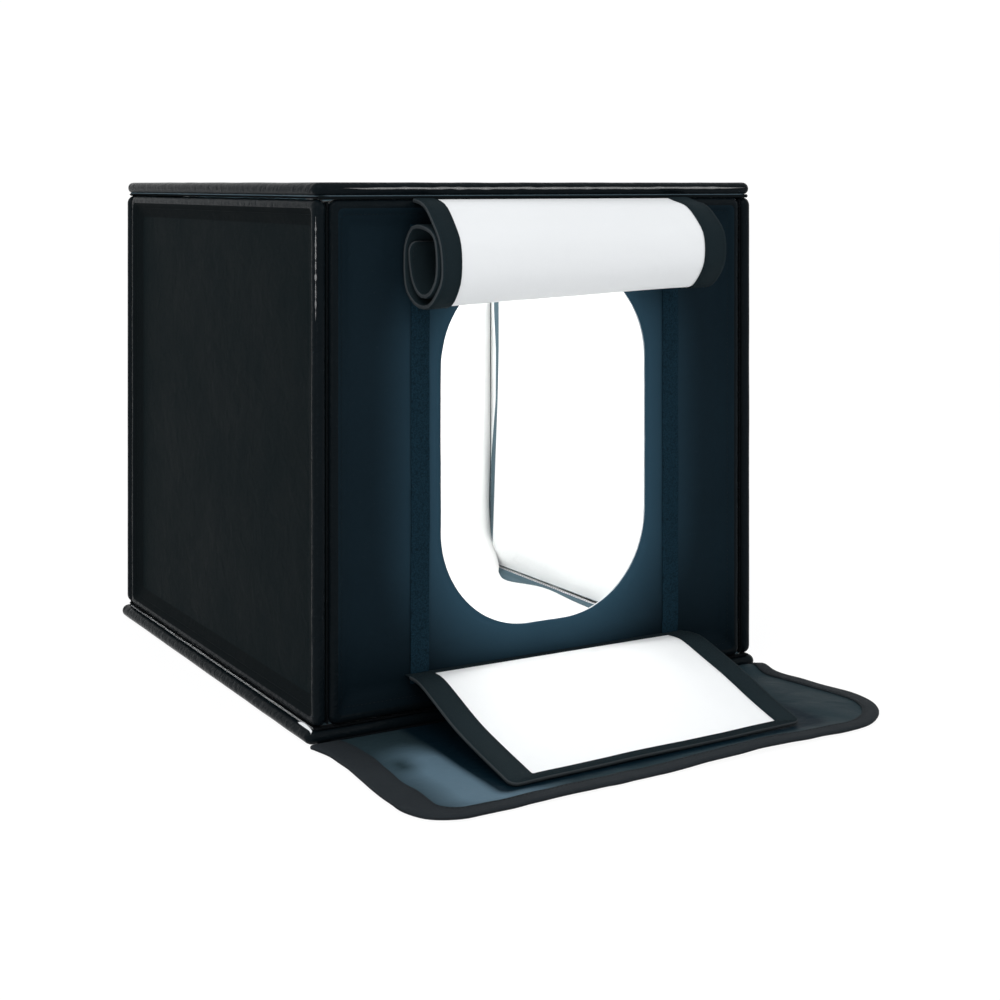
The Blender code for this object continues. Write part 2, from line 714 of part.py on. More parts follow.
def backdrop_line():
    """The sweep's section: down the back wall, round the bend and forward over the bottom wall."""
    floor = WALL_THICK + CLEAR + BACKDROP_THICK / 2
    back = HALF - WALL_THICK - 2 * CLEAR - BACKDROP_PAD_THICK - BACKDROP_THICK / 2
    top = TOP_LINING_Z - BACKDROP_TOP_GAP
    front = -HALF + WALL_THICK + BACKDROP_FRONT_GAP
    line = [Vector((back, top))]
    for step in range(WINDOW_STEPS + 1):
        angle = math.pi / 2 * step / WINDOW_STEPS
        line.append(Vector((
            back - BACKDROP_RADIUS + BACKDROP_RADIUS * math.cos(angle),
            floor + BACKDROP_RADIUS - BACKDROP_RADIUS * math.sin(angle),
        )))
    line.append(Vector((front, floor)))
    return line


def build_backdrop(parent, materials):
    line = backdrop_line()
    half = BACKDROP_WIDTH / 2
    bm = bmesh.new()
    rows = [[bm.verts.new((x, *point)) for point in line] for x in (-half, half)]
    bridge(bm, rows[0], rows[1], closed=False)
    sweep = add_object("backdrop_sheet", mesh_from(bm, "backdrop"), materials["sheet"], parent)
    solidify(sweep, BACKDROP_THICK, 0)
    far = HALF - WALL_THICK - CLEAR
    high = TOP_LINING_Z - BACKDROP_TOP_GAP
    pad = (
        (-BACKDROP_PAD_WIDTH / 2, far - BACKDROP_PAD_THICK, high - BACKDROP_PAD_HEIGHT),
        (BACKDROP_PAD_WIDTH / 2, far, high),
    )
    add_object("backdrop_hook_tape", box_mesh("pad", pad), materials["tape"], parent)


def tube_cutter(name, radius, length, world):
    bm = bmesh.new()
    bmesh.ops.create_cone(
        bm, cap_ends=True, segments=ROUND_SIDES // 2, radius1=radius, radius2=radius, depth=length
    )
    return cutter(name, mesh_from(bm, name), world)


def build_light_bar(name, place_y, parent, top, materials):
    """A light bar between two brackets: channel, light strip, end caps with pins, and a socket."""
    at = Matrix.Translation((0, place_y, BAR_AXIS_Z))
    half, half_w, half_h = BAR_LENGTH / 2, BAR_WIDTH / 2, BAR_HEIGHT / 2
    inner_w, roof = half_w - BAR_WALL, half_h - BAR_WALL
    outline = [
        (-half_w, -half_h), (-half_w, half_h), (half_w, half_h), (half_w, -half_h),
        (inner_w, -half_h), (inner_w, roof), (-inner_w, roof), (-inner_w, -half_h),
    ]
    stations = [
        (Vector((x, 0, 0)), Vector((0, 1, 0)), Vector((0, 0, 1))) for x in (-half, half)
    ]
    channel = sweep_mesh(name, outline, stations)
    add_object(f"{name}_channel", channel, materials["aluminium"], parent, at, smooth=False)
    high = roof - CLEAR
    low = high - STRIP_THICK
    strip_half = inner_w - CLEAR
    board = ((-half + CLEAR, -strip_half, low), (half - CLEAR, strip_half, high))
    strip = add_object(f"{name}_strip", box_mesh(name, board), materials["circuit"], parent, at)
    pitch = BAR_LENGTH / CHIP_COUNT
    chips = []
    for i in range(CHIP_COUNT):
        x = -half + pitch * (i + 1 / 2)
        chips.append((
            (x - CHIP_LENGTH / 2, -CHIP_WIDTH / 2, low - CHIP_THICK),
            (x + CHIP_LENGTH / 2, CHIP_WIDTH / 2, low + STRIP_THICK / 2),
        ))
    cut(strip, cutter(f"{name}_chips", box_mesh(name, *chips), at), "UNION")
    build_bar_ends(name, at, parent, top, materials)


def build_bar_ends(name, at, parent, top, materials):
    """End caps with pivot pins, held in brackets under the top wall. The left cap has the socket."""
    half, half_w, half_h = BAR_LENGTH / 2, BAR_WIDTH / 2, BAR_HEIGHT / 2
    pin_end = half + CLEAR + CAP_THICK + CLEAR + BRACKET_THICK + CLEAR
    pin_length = pin_end - half - CLEAR - CAP_THICK / 2
    inner = half + CLEAR + CAP_THICK + CLEAR
    outer = inner + BRACKET_THICK
    head = BAR_AXIS_DROP - CLEAR
    width = BRACKET_WIDTH / 2
    drop = PIVOT_RADIUS + CLEAR + BRACKET_THICK
    profile = [
        (inner, -drop), (outer, -drop), (outer, head - BRACKET_THICK),
        (outer + BRACKET_FOOT, head - BRACKET_THICK), (outer + BRACKET_FOOT, head), (inner, head),
    ]
    side_on = Matrix.Rotation(math.pi / 2, 4, "X")
    along = Matrix.Rotation(math.pi / 2, 4, "Y")
    hole = tube_cutter(
        f"{name}_bracket_hole", PIVOT_RADIUS + CLEAR, 2 * (outer + BRACKET_FOOT), at @ along
    )
    for side, sign in (("left", -1), ("right", 1)):
        near, far = sorted((sign * (half + CLEAR), sign * (half + CLEAR + CAP_THICK)))
        top_z = half_h + (2 * SOCKET_RADIUS if side == "left" else 0)
        cap = add_object(
            f"{name}_{side}_cap", box_mesh(name, ((near, -half_w, -half_h), (far, half_w, top_z))),
            materials["plastic"], parent, at,
        )
        pin_middle = sign * (pin_end - pin_length / 2)
        pin = tube_cutter(
            f"{name}_{side}_pin", PIVOT_RADIUS, pin_length,
            at @ Matrix.Translation((pin_middle, 0, 0)) @ along,
        )
        cut(cap, pin, "UNION")
        bracket = add_object(
            f"{name}_{side}_bracket",
            slab_mesh(name, [(sign * x, z) for x, z in profile], -width, width),
            materials["plastic"], top, at @ side_on, smooth=False,
        )
        cut(bracket, hole)
        if side == "left":
            add_socket(cap, name, at, along)


def add_socket(cap, name, at, along):
    """The power socket: a barrel on top of the left cap, open towards the cube's left."""
    half, half_h = BAR_LENGTH / 2, BAR_HEIGHT / 2
    middle = -(half + CLEAR + CAP_THICK) + SOCKET_LENGTH / 2
    place = at @ Matrix.Translation((middle, 0, half_h + CLEAR + SOCKET_RADIUS))
    cut(cap, tube_cutter(f"{name}_barrel", SOCKET_RADIUS, SOCKET_LENGTH, place @ along), "UNION")
    bore = place @ Matrix.Translation((-SOCKET_LENGTH / 2, 0, 0)) @ along
    cut(cap, tube_cutter(f"{name}_bore", SOCKET_BORE_RADIUS, SOCKET_LENGTH, bore))


def build_bodies():
    """Empties on the joint axes, each hung from the body that carries it."""
    bodies = {"bottom": empty_at("bottom_wall_origin", (0, 0, 0))}
    bodies["back"] = empty_at("back_wall_axis", (0, HINGE_OUT, HINGE_LOW), bodies["bottom"])
    bodies["left"] = empty_at("left_wall_axis", (-HINGE_OUT, HINGE_BACK, HALF), bodies["back"])
    bodies["right"] = empty_at("right_wall_axis", (HINGE_OUT, HINGE_BACK, HALF), bodies["back"])
    bodies["top"] = empty_at("top_wall_axis", (0, HINGE_OUT, HINGE_HIGH), bodies["back"])
    bodies["front"] = empty_at("front_wall_axis", (0, -HINGE_OUT, HINGE_HIGH), bodies["top"])
    bodies["upper_flap"] = empty_at(
        "upper_flap_axis", (0, UPPER_HINGE_Y, UPPER_HINGE_Z), bodies["front"]
    )
    bodies["lower_flap"] = empty_at(
        "lower_flap_axis", (0, LOWER_HINGE_Y, LOWER_HINGE_HEIGHT + EDGE_HALF_THICK),
        bodies["front"],
    )
    bodies["closure"] = empty_at(
        "closure_flap_axis", (0, CLOSURE_HINGE_Y, CLOSURE_MID_Z), bodies["bottom"]
    )
    bodies["port"] = empty_at(
        "top_port_axis", (0, PORT_RADIUS + PORT_COVER_MARGIN, PORT_LID_HIGH), bodies["top"]
    )
    for name, place in BAR_PLACES:
        bodies[name] = empty_at(f"{name}_axis", (0, place, BAR_AXIS_Z), bodies["top"])
    return bodies


def build_walls(bodies, materials):
    half_depth = (CUBE_SIDE - WALL_STEP) / 2
    half_height = WALL_HEIGHT / 2
    inner = INNER_HALF
    up, back = (0, 0, 1), (0, 1, 0)
    window = cutter(
        "window_cutter",
        slab_mesh(
            "window",
            rounded_rectangle(WINDOW_WIDTH / 2, WINDOW_HEIGHT / 2, WINDOW_RADIUS, WINDOW_STEPS),
            -CUT_OVERRUN, WALL_THICK + CUT_OVERRUN,
        ),
        wall_matrix((0, -1, 0), up, (WINDOW_SHIFT, -inner, WINDOW_SILL + WINDOW_HEIGHT / 2)),
    )
    port = cutter(
        "port_cutter",
        slab_mesh("port", disc_outline(PORT_RADIUS), -CUT_OVERRUN, WALL_THICK + CUT_OVERRUN),
        Matrix.Translation((0, 0, TOP_LINING_Z)),
    )
    build_bottom_wall(bodies["bottom"], materials)
    build_wall(
        "back_wall", HALF, half_height, wall_matrix((0, 1, 0), up, (0, inner, HALF)),
        bodies["back"], materials,
    )
    for name, sign in (("left", -1), ("right", 1)):
        build_wall(
            f"{name}_wall", half_depth, half_height,
            wall_matrix((sign, 0, 0), up, (sign * inner, -WALL_STEP / 2, HALF)),
            bodies[name], materials,
        )
    build_wall(
        "top_wall", HALF, HALF, wall_matrix(up, back, (0, 0, TOP_LINING_Z)),
        bodies["top"], materials, tools=(port,),
    )
    build_wall(
        "front_wall", HALF - WALL_STEP, half_height,
        wall_matrix((0, -1, 0), up, (0, -inner, HALF)),
        bodies["front"], materials, tools=(window,), boarded=False,
    )


def build_cords(bodies, materials):
    run = HALF - CORNER_RADIUS
    low, high = WALL_STEP + CORNER_RADIUS, CUBE_SIDE - WALL_STEP - CORNER_RADIUS
    across = (
        ("bottom_back_cord", HINGE_OUT, HINGE_LOW, run, "bottom"),
        ("top_back_cord", HINGE_OUT, HINGE_HIGH, run, "back"),
        ("top_front_cord", -HINGE_OUT, HINGE_HIGH, run - WALL_STEP, "top"),
    )
    for name, y, z, half, body in across:
        build_seam_cord(name, (-half, y, z), (half, y, z), bodies[body], materials)
    for name, x in (("back_left_cord", -HINGE_OUT), ("back_right_cord", HINGE_OUT)):
        build_seam_cord(name, (x, HINGE_BACK, low), (x, HINGE_BACK, high), bodies["back"], materials)


def main():
    clear_scene()
    materials = make_materials()
    bodies = build_bodies()
    build_walls(bodies, materials)
    build_cords(bodies, materials)
    build_seam_tapes(bodies, materials)
    build_window_tapes(bodies["front"], materials)
    roll = flap_lines(
        (ROLL_LEFT_SHARES, ROLL_RIGHT_SHARES), ROLL_DEPTH, ROLL_HEIGHT,
        UPPER_HINGE_Y, UPPER_HINGE_Z,
    )
    build_window_flap("upper_flap", roll, bodies["upper_flap"], materials)
    ramp = flap_lines(
        (RAMP_LEFT_SHARES, RAMP_RIGHT_SHARES), LOWER_FLAP_REACH, LOWER_FLAP_DROP,
        LOWER_HINGE_Y, LOWER_HINGE_HEIGHT,
    )
    build_window_flap("lower_flap", ramp, bodies["lower_flap"], materials)
    build_lower_flap_root(bodies["front"], materials)
    build_closure_flap(bodies["closure"], bodies["bottom"], materials)
    build_port_cover(bodies["port"], bodies["top"], materials)
    build_backdrop(bodies["back"], materials)
    for name, place in BAR_PLACES:
        build_light_bar(name, place, bodies[name], bodies["top"], materials)
    bpy.context.view_layer.update()


main()
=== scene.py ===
"""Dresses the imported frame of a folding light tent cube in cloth, tape, lining and light bars.

Metres, +Z up, front towards -Y, origin at the centre of the cube's underside.
"""

import math

import bpy
from bpy.props import FloatProperty, FloatVectorProperty, PointerProperty
from mathutils import Matrix, Vector, noise


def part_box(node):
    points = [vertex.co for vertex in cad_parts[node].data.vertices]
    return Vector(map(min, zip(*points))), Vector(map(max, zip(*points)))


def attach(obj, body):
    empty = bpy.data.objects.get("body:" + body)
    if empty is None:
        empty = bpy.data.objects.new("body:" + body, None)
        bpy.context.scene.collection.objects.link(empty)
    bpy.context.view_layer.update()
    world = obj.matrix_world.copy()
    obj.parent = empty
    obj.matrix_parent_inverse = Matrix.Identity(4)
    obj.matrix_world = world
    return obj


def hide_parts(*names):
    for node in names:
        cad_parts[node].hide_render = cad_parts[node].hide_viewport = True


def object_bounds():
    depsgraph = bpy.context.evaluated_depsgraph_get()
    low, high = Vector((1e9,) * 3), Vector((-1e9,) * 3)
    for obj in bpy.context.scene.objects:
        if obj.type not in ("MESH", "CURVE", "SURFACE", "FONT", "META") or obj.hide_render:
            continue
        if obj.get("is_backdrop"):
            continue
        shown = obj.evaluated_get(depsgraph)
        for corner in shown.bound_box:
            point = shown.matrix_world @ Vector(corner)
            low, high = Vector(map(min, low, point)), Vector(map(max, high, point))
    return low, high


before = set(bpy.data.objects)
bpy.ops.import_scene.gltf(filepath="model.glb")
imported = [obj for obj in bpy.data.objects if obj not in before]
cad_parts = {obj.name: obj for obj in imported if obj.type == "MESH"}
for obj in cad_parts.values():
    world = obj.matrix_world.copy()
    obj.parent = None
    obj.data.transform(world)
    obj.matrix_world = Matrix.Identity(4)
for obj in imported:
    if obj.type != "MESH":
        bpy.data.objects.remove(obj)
CAD_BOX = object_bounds()

bl_info = {
    "name": "Light tent cube",
    "version": (1, 0, 0),
    "blender": (4, 5, 0),
    "location": "3D View > Sidebar > Light tent",
    "description": "Cloth walls, flaps, sweep and light bars of a folding light tent",
    "category": "Object",
}

# The cube and its walls, as in the part's source
CUBE_SIDE = 0.400
BEAD_RADIUS = 0.005
WALL_THICK = 0.010
SEAM_GAP = 0.002
COVER_THICK = 0.0010
LINING_THICK = 0.0006
CLEAR = 0.0003
CORNER_RADIUS = 0.012
CLOTH_CORNER = 0.007
PANEL_INSET = 0.019
BOARDED_HEIGHT = 0.0042
BARE_HEIGHT = 0.0019
LINING_INSET = 0.0043
LINING_REACH = 0.0012
SEAM_END = 0.0040
HALF = CUBE_SIDE / 2
INNER_HALF = HALF - WALL_THICK
WALL_STEP = WALL_THICK + SEAM_GAP
LINING_BORDERS = {"back_wall": 0.016, "bottom_wall": 0.014}
SIDE_HALF_DEPTH = (CUBE_SIDE - WALL_STEP) / 2
SIDE_HALF_HEIGHT = HALF - WALL_STEP

# How far the bottom wall's border stands out left and right, and where the side linings' white
# begins and ends. The rear lines are (height, depth) places that a program traced in the photograph.
BASE_BULGE = 0.0055
BULGE_START = 0.019
BULGE_SPAN = 0.014
SIDE_LINING_START = 0.0115
SIDE_FRONTS = {"left_wall": 1, "right_wall": 3}
# These lines bound the right lining's dark strip, which is partly painted shade.
LINING_REAR_LINES = (
    (
        (-0.194, 0.1946), (-0.126, 0.1960), (-0.106, 0.1946), (-0.075, 0.1908), (-0.023, 0.1834),
        (0.028, 0.1832), (0.072, 0.1868), (0.194, 0.1868),
    ),
    (
        (-0.194, 0.1870), (-0.167, 0.1889), (-0.106, 0.1851), (-0.075, 0.1832), (-0.023, 0.1796),
        (0.028, 0.1775), (0.194, 0.1774),
    ),
)

# The window and what closes it
WINDOW_HALF_WIDTH = 0.0945
WINDOW_SILL = 0.0625
WINDOW_HALF_HEIGHT = 0.13815
WINDOW_RADIUS = 0.078
WINDOW_CENTRE = (0.002, WINDOW_SILL + WINDOW_HALF_HEIGHT - HALF)
FLAP_HALF_WIDTH = 0.1275
FLAP_SHIFT = 0.005
FLAP_THICK = 0.0012
TAPE_WIDTH = 0.0195
END_TAPE_WIDTH = 0.005
TAPE_THICK = 0.0008
SHEET_INSET = 0.0030
# Flap curves at the left and the right end, as shares of their size. Except for the last ten rows
# of each roll, which are the guessed inner turn, a program converted them from photograph points.
ROLL_START = (-0.2002, 0.3869)
ROLL_SIZE = (0.0457, 0.0769)
ROLL_LEFT_SHARES = (
    (0.000, 0.000), (0.109, 0.010), (0.218, 0.026), (0.409, 0.080),
    (0.676, 0.278), (0.794, 0.396), (0.831, 0.574), (0.803, 0.753),
    (0.684, 0.889), (0.511, 1.000), (0.195, 0.977), (-0.019, 0.800),
    (-0.060, 0.593), (-0.050, 0.405), (0.035, 0.283), (0.144, 0.243),
    (0.420, 0.260), (0.660, 0.335), (0.730, 0.460), (0.748, 0.620), (0.700, 0.780),
    (0.520, 0.900), (0.280, 0.885), (0.100, 0.760), (0.035, 0.580), (0.040, 0.400),
)
ROLL_RIGHT_SHARES = (
    (0.000, 0.000), (0.218, 0.037), (0.427, 0.061), (0.618, 0.122),
    (0.878, 0.274), (0.968, 0.367), (0.995, 0.513), (0.958, 0.645),
    (0.836, 0.757), (0.626, 0.876), (0.367, 0.870), (0.171, 0.731),
    (0.132, 0.579), (0.146, 0.427), (0.235, 0.314), (0.343, 0.274),
    (0.560, 0.290), (0.760, 0.335), (0.880, 0.410), (0.905, 0.520), (0.860, 0.630),
    (0.720, 0.755), (0.500, 0.795), (0.300, 0.710), (0.225, 0.570), (0.235, 0.440),
)
# How far the roll's left end is pushed sideways, by share of its length
ROLL_SLIP = (
    (0.0, 0.0030), (0.12, 0.0035), (0.27, 0.0055), (0.36, 0.0010), (0.44, -0.0035), (0.54, -0.0030),
    (0.66, 0.0030), (0.78, 0.0030), (0.86, 0.0), (1.0, -0.0020),
)
RAMP_START = (-0.2003, 0.0380)
RAMP_SIZE = (0.1360, 0.0337)
RAMP_LEFT_SHARES = (
    (0.000, 0.000), (0.056, -0.003), (0.132, 0.042), (0.290, 0.273),
    (0.412, 0.457), (0.533, 0.611), (0.766, 0.819), (1.000, 1.000),
)
RAMP_RIGHT_SHARES = (
    (0.000, 0.000), (0.059, -0.012), (0.125, -0.009), (0.263, 0.148),
    (0.393, 0.294), (0.516, 0.439), (0.732, 0.757), (0.945, 1.000),
)
FLAP_CORNER = 0.006

# The closure flap on the table
CLOSURE_REACH = 0.1620
CLOSURE_SKEW = 0.067
CLOSURE_START_Y = -0.2020
CLOSURE_MID_Z = 0.0017
CLOSURE_CORNERS = (0.035, 0.055)
CLOSURE_HEM = 0.0205
CLOSURE_END_HEM = 0.0105
CLOSURE_HEM_START = 0.0025
CLOSURE_ROOT_SPREAD = 0.0050
ROOT_WEB = (0.197, -0.19965, 0.0004, 0.0063)
CLOSURE_SIDE_SHARES = (1.0, 0.6)
CLOSURE_FLARES = (-0.0045, 0.018)
# Centre of the closure flap's painted highlight
CLOSURE_HIGHLIGHT_SPOT = (-0.135, 0.105)
# Centre of the painted shade in a dent of the closure flap
CLOSURE_DENT_SHADE_SPOT = (-0.168, 0.070)
FLARE_SHARES = ((0.20, 0.65), (0.10, 0.70))

# The port in the top wall
PORT_RADIUS = 0.055
LID_RADIUS = 0.073
LID_MID_Z = 0.3964

LID_THICK = 0.0009
RING_HALF_WIDTH = 0.006

# The white sweep inside
# The right edge is (length, half width), tuned against the line traced in the photograph.
SWEEP_LEFT_EDGE = 0.1865
SWEEP_RIGHT_EDGE = (
    (0.000, 0.1893), (0.150, 0.1893), (0.240, 0.1893), (0.290, 0.1880), (0.347, 0.1885),
    (0.390, 0.1650), (0.420, 0.1560), (0.460, 0.1720), (0.540, 0.1670), (0.720, 0.1690),
)
SWEEP_BACK_Y = 0.1875
SWEEP_FLOOR_Z = 0.0108
SWEEP_TOP_Z = 0.3600
SWEEP_FRONT_Y = -0.1780
SWEEP_RADIUS = 0.035
SWEEP_THICK = 0.0010

# The light bars
CHIP_COUNT = 24
CHIP_SIZE = (0.0050, 0.0040, 0.0009)

# How finely things are divided
WALL_COUNTS = (44, 44)
ARC_STEPS = 4
BEAD_TURNS = (250, 232, 214, 197, 180, 162, 144, 126, 108, 90, 72, 54)
HOLE_RINGS = 12
LINE_STEPS = 5
FLAP_COLUMNS = 48

# Photograph's frame and the camera's place in it
CAMERA_PLACE = (-0.7025, -1.2321, 0.3995)
CAMERA_YAW = 0.4848
CAMERA_LENS = 58.29
CAMERA_SHIFT = (0.1336, -0.3169)


# Settings that a user would change


def colour_setting(name, what, value):
    return FloatVectorProperty(
        name=name, description=what, default=value, size=3, min=0, max=1, subtype="COLOR"
    )


def size_setting(name, what, value):
    return FloatProperty(
        name=name, description=what, default=value, min=0, precision=5, unit="LENGTH"
    )


class TentSizes(bpy.types.PropertyGroup):
    """Sizes of the cloth's relief and sewing."""

    panel_relief: size_setting("Panel relief", "Height of the wrinkles in a boarded wall", 0.0006)
    curtain_relief: size_setting("Curtain relief", "Height of the window wall's wrinkles", 0.0016)
    closure_relief: size_setting("Closure relief", "Height of the closure flap's wrinkles", 0.0036)
    sheet_relief: size_setting("Sheet relief", "Height of the waves in the white sheets", 0.0007)
    stitch_pitch: size_setting("Stitch pitch", "Distance from stitch to stitch", 0.0034)
    stitch_radius: size_setting("Stitch radius", "Half the thread's thickness", 0.00022)


class TentColours(bpy.types.PropertyGroup):
    """Colours of the cloth and the hardware, and of the painted light and shade on some cloths."""

    panel: colour_setting("Panel", "Coated cloth of the walls", (0.0040, 0.0076, 0.0088))
    curtain: colour_setting("Curtain", "Cloth of the front wall", (0.0070, 0.0150, 0.0210))
    # Painted light: the curtain's lighter, bluer colour round the window stands in for light from the
    # window.
    curtain_rim: colour_setting("Curtain rim", "The same close to the window", (0.0270, 0.0640, 0.0930))
    edging: colour_setting("Edging", "Glossy edging over the rods", (0.0040, 0.0068, 0.0086))
    slope: colour_setting("Slope", "Cloth between rod and panel", (0.0050, 0.0072, 0.0080))
    binding: colour_setting("Binding", "Woven tape on the flaps", (0.0120, 0.0200, 0.0235))
    hem: colour_setting("Hem", "Wide tape round the closure flap", (0.0240, 0.0285, 0.0320))
    # Painted highlight: the binding's outer fold is drawn lighter; it is not worn.
    rim: colour_setting("Binding edge", "The binding's worn fold", (0.0500, 0.0580, 0.0620))
    closure: colour_setting("Closure", "Satin cloth of the closure flap", (0.0205, 0.0365, 0.0435))
    # Painted highlight: the closure's colour where it bulges.
    closure_high: colour_setting("Closure lit", "The same where it bulges", (0.0900, 0.1450, 0.1850))
    # Painted shadow: the closure's colour beside the lower flap.
    closure_low: colour_setting("Closure dark", "The same beside the lower flap", (0.0030, 0.0100, 0.0160))
    backing: colour_setting("Backing", "Black cloth behind the flaps", (0.0080, 0.0110, 0.0125))
    seam: colour_setting("Seam", "Dark cloth of the seams inside", (0.0850, 0.1300, 0.1550))
    sheet: colour_setting("Sheet", "White cloth of the flaps and the sweep", (0.86, 0.865, 0.855))
    lining: colour_setting("Lining", "Reflecting lining of the walls", (0.85, 0.86, 0.86))


class TentLight(bpy.types.PropertyGroup):
    """Lamps, inside and out."""

    chip_glow: FloatProperty(
        name="Chip glow", description="Strength of a light chip", default=6.0, min=0
    )
    inside_power: FloatProperty(
        name="Inside power", description="Power of the lamps inside", default=0.65, min=0,
        unit="POWER",
    )
    key_power: FloatProperty(
        name="Key power", description="Power of the large lamp", default=12.0, min=0, unit="POWER"
    )
    edge_power: FloatProperty(
        name="Edge power", description="Power of the low lamp that lines the edges", default=2.0,
        min=0, unit="POWER",
    )
    world_level: FloatProperty(
        name="World level", description="Strength of the world's light", default=0.74, min=0
    )


# Node trees


def add_node(tree, kind, values=None, **settings):
    """A node with its settings, and with values or linked sockets on its inputs."""
    node = tree.nodes.new(kind)
    for key, value in settings.items():
        setattr(node, key, value)
    for key, value in (values or {}).items():
        if isinstance(value, bpy.types.NodeSocket):
            tree.links.new(value, node.inputs[key])
        else:
            node.inputs[key].default_value = value
    return node


def calculate(tree, operation, first, second=0.0, clamp=False):
    node = add_node(
        tree, "ShaderNodeMath", {0: first, 1: second}, operation=operation, use_clamp=clamp
    )
    return node.outputs[0]


def mix_colours(tree, factor, first, second):
    node = add_node(tree, "ShaderNodeMix", data_type="RGBA")
    for index, value in ((0, factor), (6, first), (7, second)):
        if isinstance(value, bpy.types.NodeSocket):
            tree.links.new(value, node.inputs[index])
        else:
            node.inputs[index].default_value = value
    return node.outputs[2]


def new_group(name, inputs, outputs):
    """An empty node group with its sockets. Returns the group, its input and its output node."""
    tree = bpy.data.node_groups.new(name, "ShaderNodeTree")
    for socket, kind, value in inputs:
        made = tree.interface.new_socket(socket, in_out="INPUT", socket_type=kind)
        if value is not None:
            made.default_value = value
    for socket in outputs:
        tree.interface.new_socket(socket, in_out="OUTPUT", socket_type="NodeSocketFloat")
    return tree, tree.nodes.new("NodeGroupInput"), tree.nodes.new("NodeGroupOutput")


def weave_group():
    """Plain weave of even threads: relief of the threads, 0 to 1."""
    tree, given, out = new_group(
        "Plain weave",
        (("Place", "NodeSocketVector", None), ("Pitch", "NodeSocketFloat", 0.0005)),
        ("Height",),
    )
    turns = calculate(tree, "DIVIDE", math.tau, given.outputs["Pitch"])
    scaled = add_node(
        tree, "ShaderNodeVectorMath", {0: given.outputs["Place"], "Scale": turns},
        operation="SCALE",
    )
    waves = add_node(
        tree, "ShaderNodeVectorMath", {0: scaled.outputs[0]}, operation="SINE"
    )
    parts = add_node(tree, "ShaderNodeSeparateXYZ", {0: waves.outputs[0]})
    product = calculate(tree, "MULTIPLY", parts.outputs[0], parts.outputs[1])
    half = calculate(tree, "MULTIPLY", product, 0.5)
    tree.links.new(calculate(tree, "ADD", half, 0.5), out.inputs["Height"])
    return tree


def rib_group():
    """Ribs along a tape with finer threads across them: relief, 0 to 1."""
    tree, given, out = new_group(
        "Tape ribs",
        (("Place", "NodeSocketVector", None), ("Pitch", "NodeSocketFloat", 0.0009)),
        ("Height",),
    )
    turns = calculate(tree, "DIVIDE", math.tau, given.outputs["Pitch"])
    parts = add_node(tree, "ShaderNodeSeparateXYZ", {0: given.outputs["Place"]})
    diagonal = calculate(tree, "ADD", parts.outputs[0], parts.outputs[1])
    rib = calculate(tree, "SINE", calculate(tree, "MULTIPLY", diagonal, turns))
    across = calculate(tree, "SUBTRACT", parts.outputs[0], parts.outputs[1])
    fine = calculate(tree, "MULTIPLY", calculate(tree, "MULTIPLY", across, turns), 2.0)
    thread = calculate(tree, "MULTIPLY", calculate(tree, "SINE", fine), 0.4)
    total = calculate(tree, "MULTIPLY", calculate(tree, "ADD", rib, thread), 0.35)
    tree.links.new(calculate(tree, "ADD", total, 0.5), out.inputs["Height"])
    return tree


def crinkle_group():
    """Soft creases of coated cloth: their relief, and a broad cloud for shade and gloss."""
    tree, given, out = new_group(
        "Cloth crinkle",
        (("Place", "NodeSocketVector", None), ("Size", "NodeSocketFloat", 0.02)),
        ("Height", "Cloud"),
    )
    scale = calculate(tree, "DIVIDE", 1.0, given.outputs["Size"])
    crease = add_node(
        tree, "ShaderNodeTexNoise",
        {"Vector": given.outputs["Place"], "Scale": scale, "Detail": 4.0, "Distortion": 0.6},
    )
    broad = calculate(tree, "MULTIPLY", scale, 0.22)
    cloud = add_node(
        tree, "ShaderNodeTexNoise",
        {"Vector": given.outputs["Place"], "Scale": broad, "Detail": 5.0, "Roughness": 0.6},
    )
    tree.links.new(crease.outputs[0], out.inputs["Height"])
    tree.links.new(cloud.outputs[0], out.inputs["Cloud"])
    return tree


def dust_group():
    """Sparse specks and lint: a mask, 0 to 1."""
    tree, given, out = new_group(
        "Lint and dust",
        (("Place", "NodeSocketVector", None), ("Size", "NodeSocketFloat", 0.003)),
        ("Mask",),
    )
    scale = calculate(tree, "DIVIDE", 1.0, given.outputs["Size"])
    specks = add_node(
        tree, "ShaderNodeTexNoise",
        {"Vector": given.outputs["Place"], "Scale": scale, "Detail": 2.0},
    )
    high = calculate(tree, "SUBTRACT", specks.outputs[0], 0.66)
    tree.links.new(calculate(tree, "MULTIPLY", high, 9.0, clamp=True), out.inputs["Mask"])
    return tree


def nap_group():
    """The loops or hooks of a fastening tape: their relief and the gaps between them."""
    tree, given, out = new_group(
        "Tape nap",
        (("Place", "NodeSocketVector", None), ("Pitch", "NodeSocketFloat", 0.0010)),
        ("Height", "Gaps"),
    )
    scale = calculate(tree, "DIVIDE", 1.0, given.outputs["Pitch"])
    cells = add_node(
        tree, "ShaderNodeTexVoronoi", {"Vector": given.outputs["Place"], "Scale": scale}
    )
    height = calculate(tree, "SUBTRACT", 1.0, cells.outputs["Distance"], clamp=True)
    tree.links.new(height, out.inputs["Height"])
    tree.links.new(
        calculate(tree, "MULTIPLY", cells.outputs["Distance"], 1.3, clamp=True), out.inputs["Gaps"]
    )
    return tree


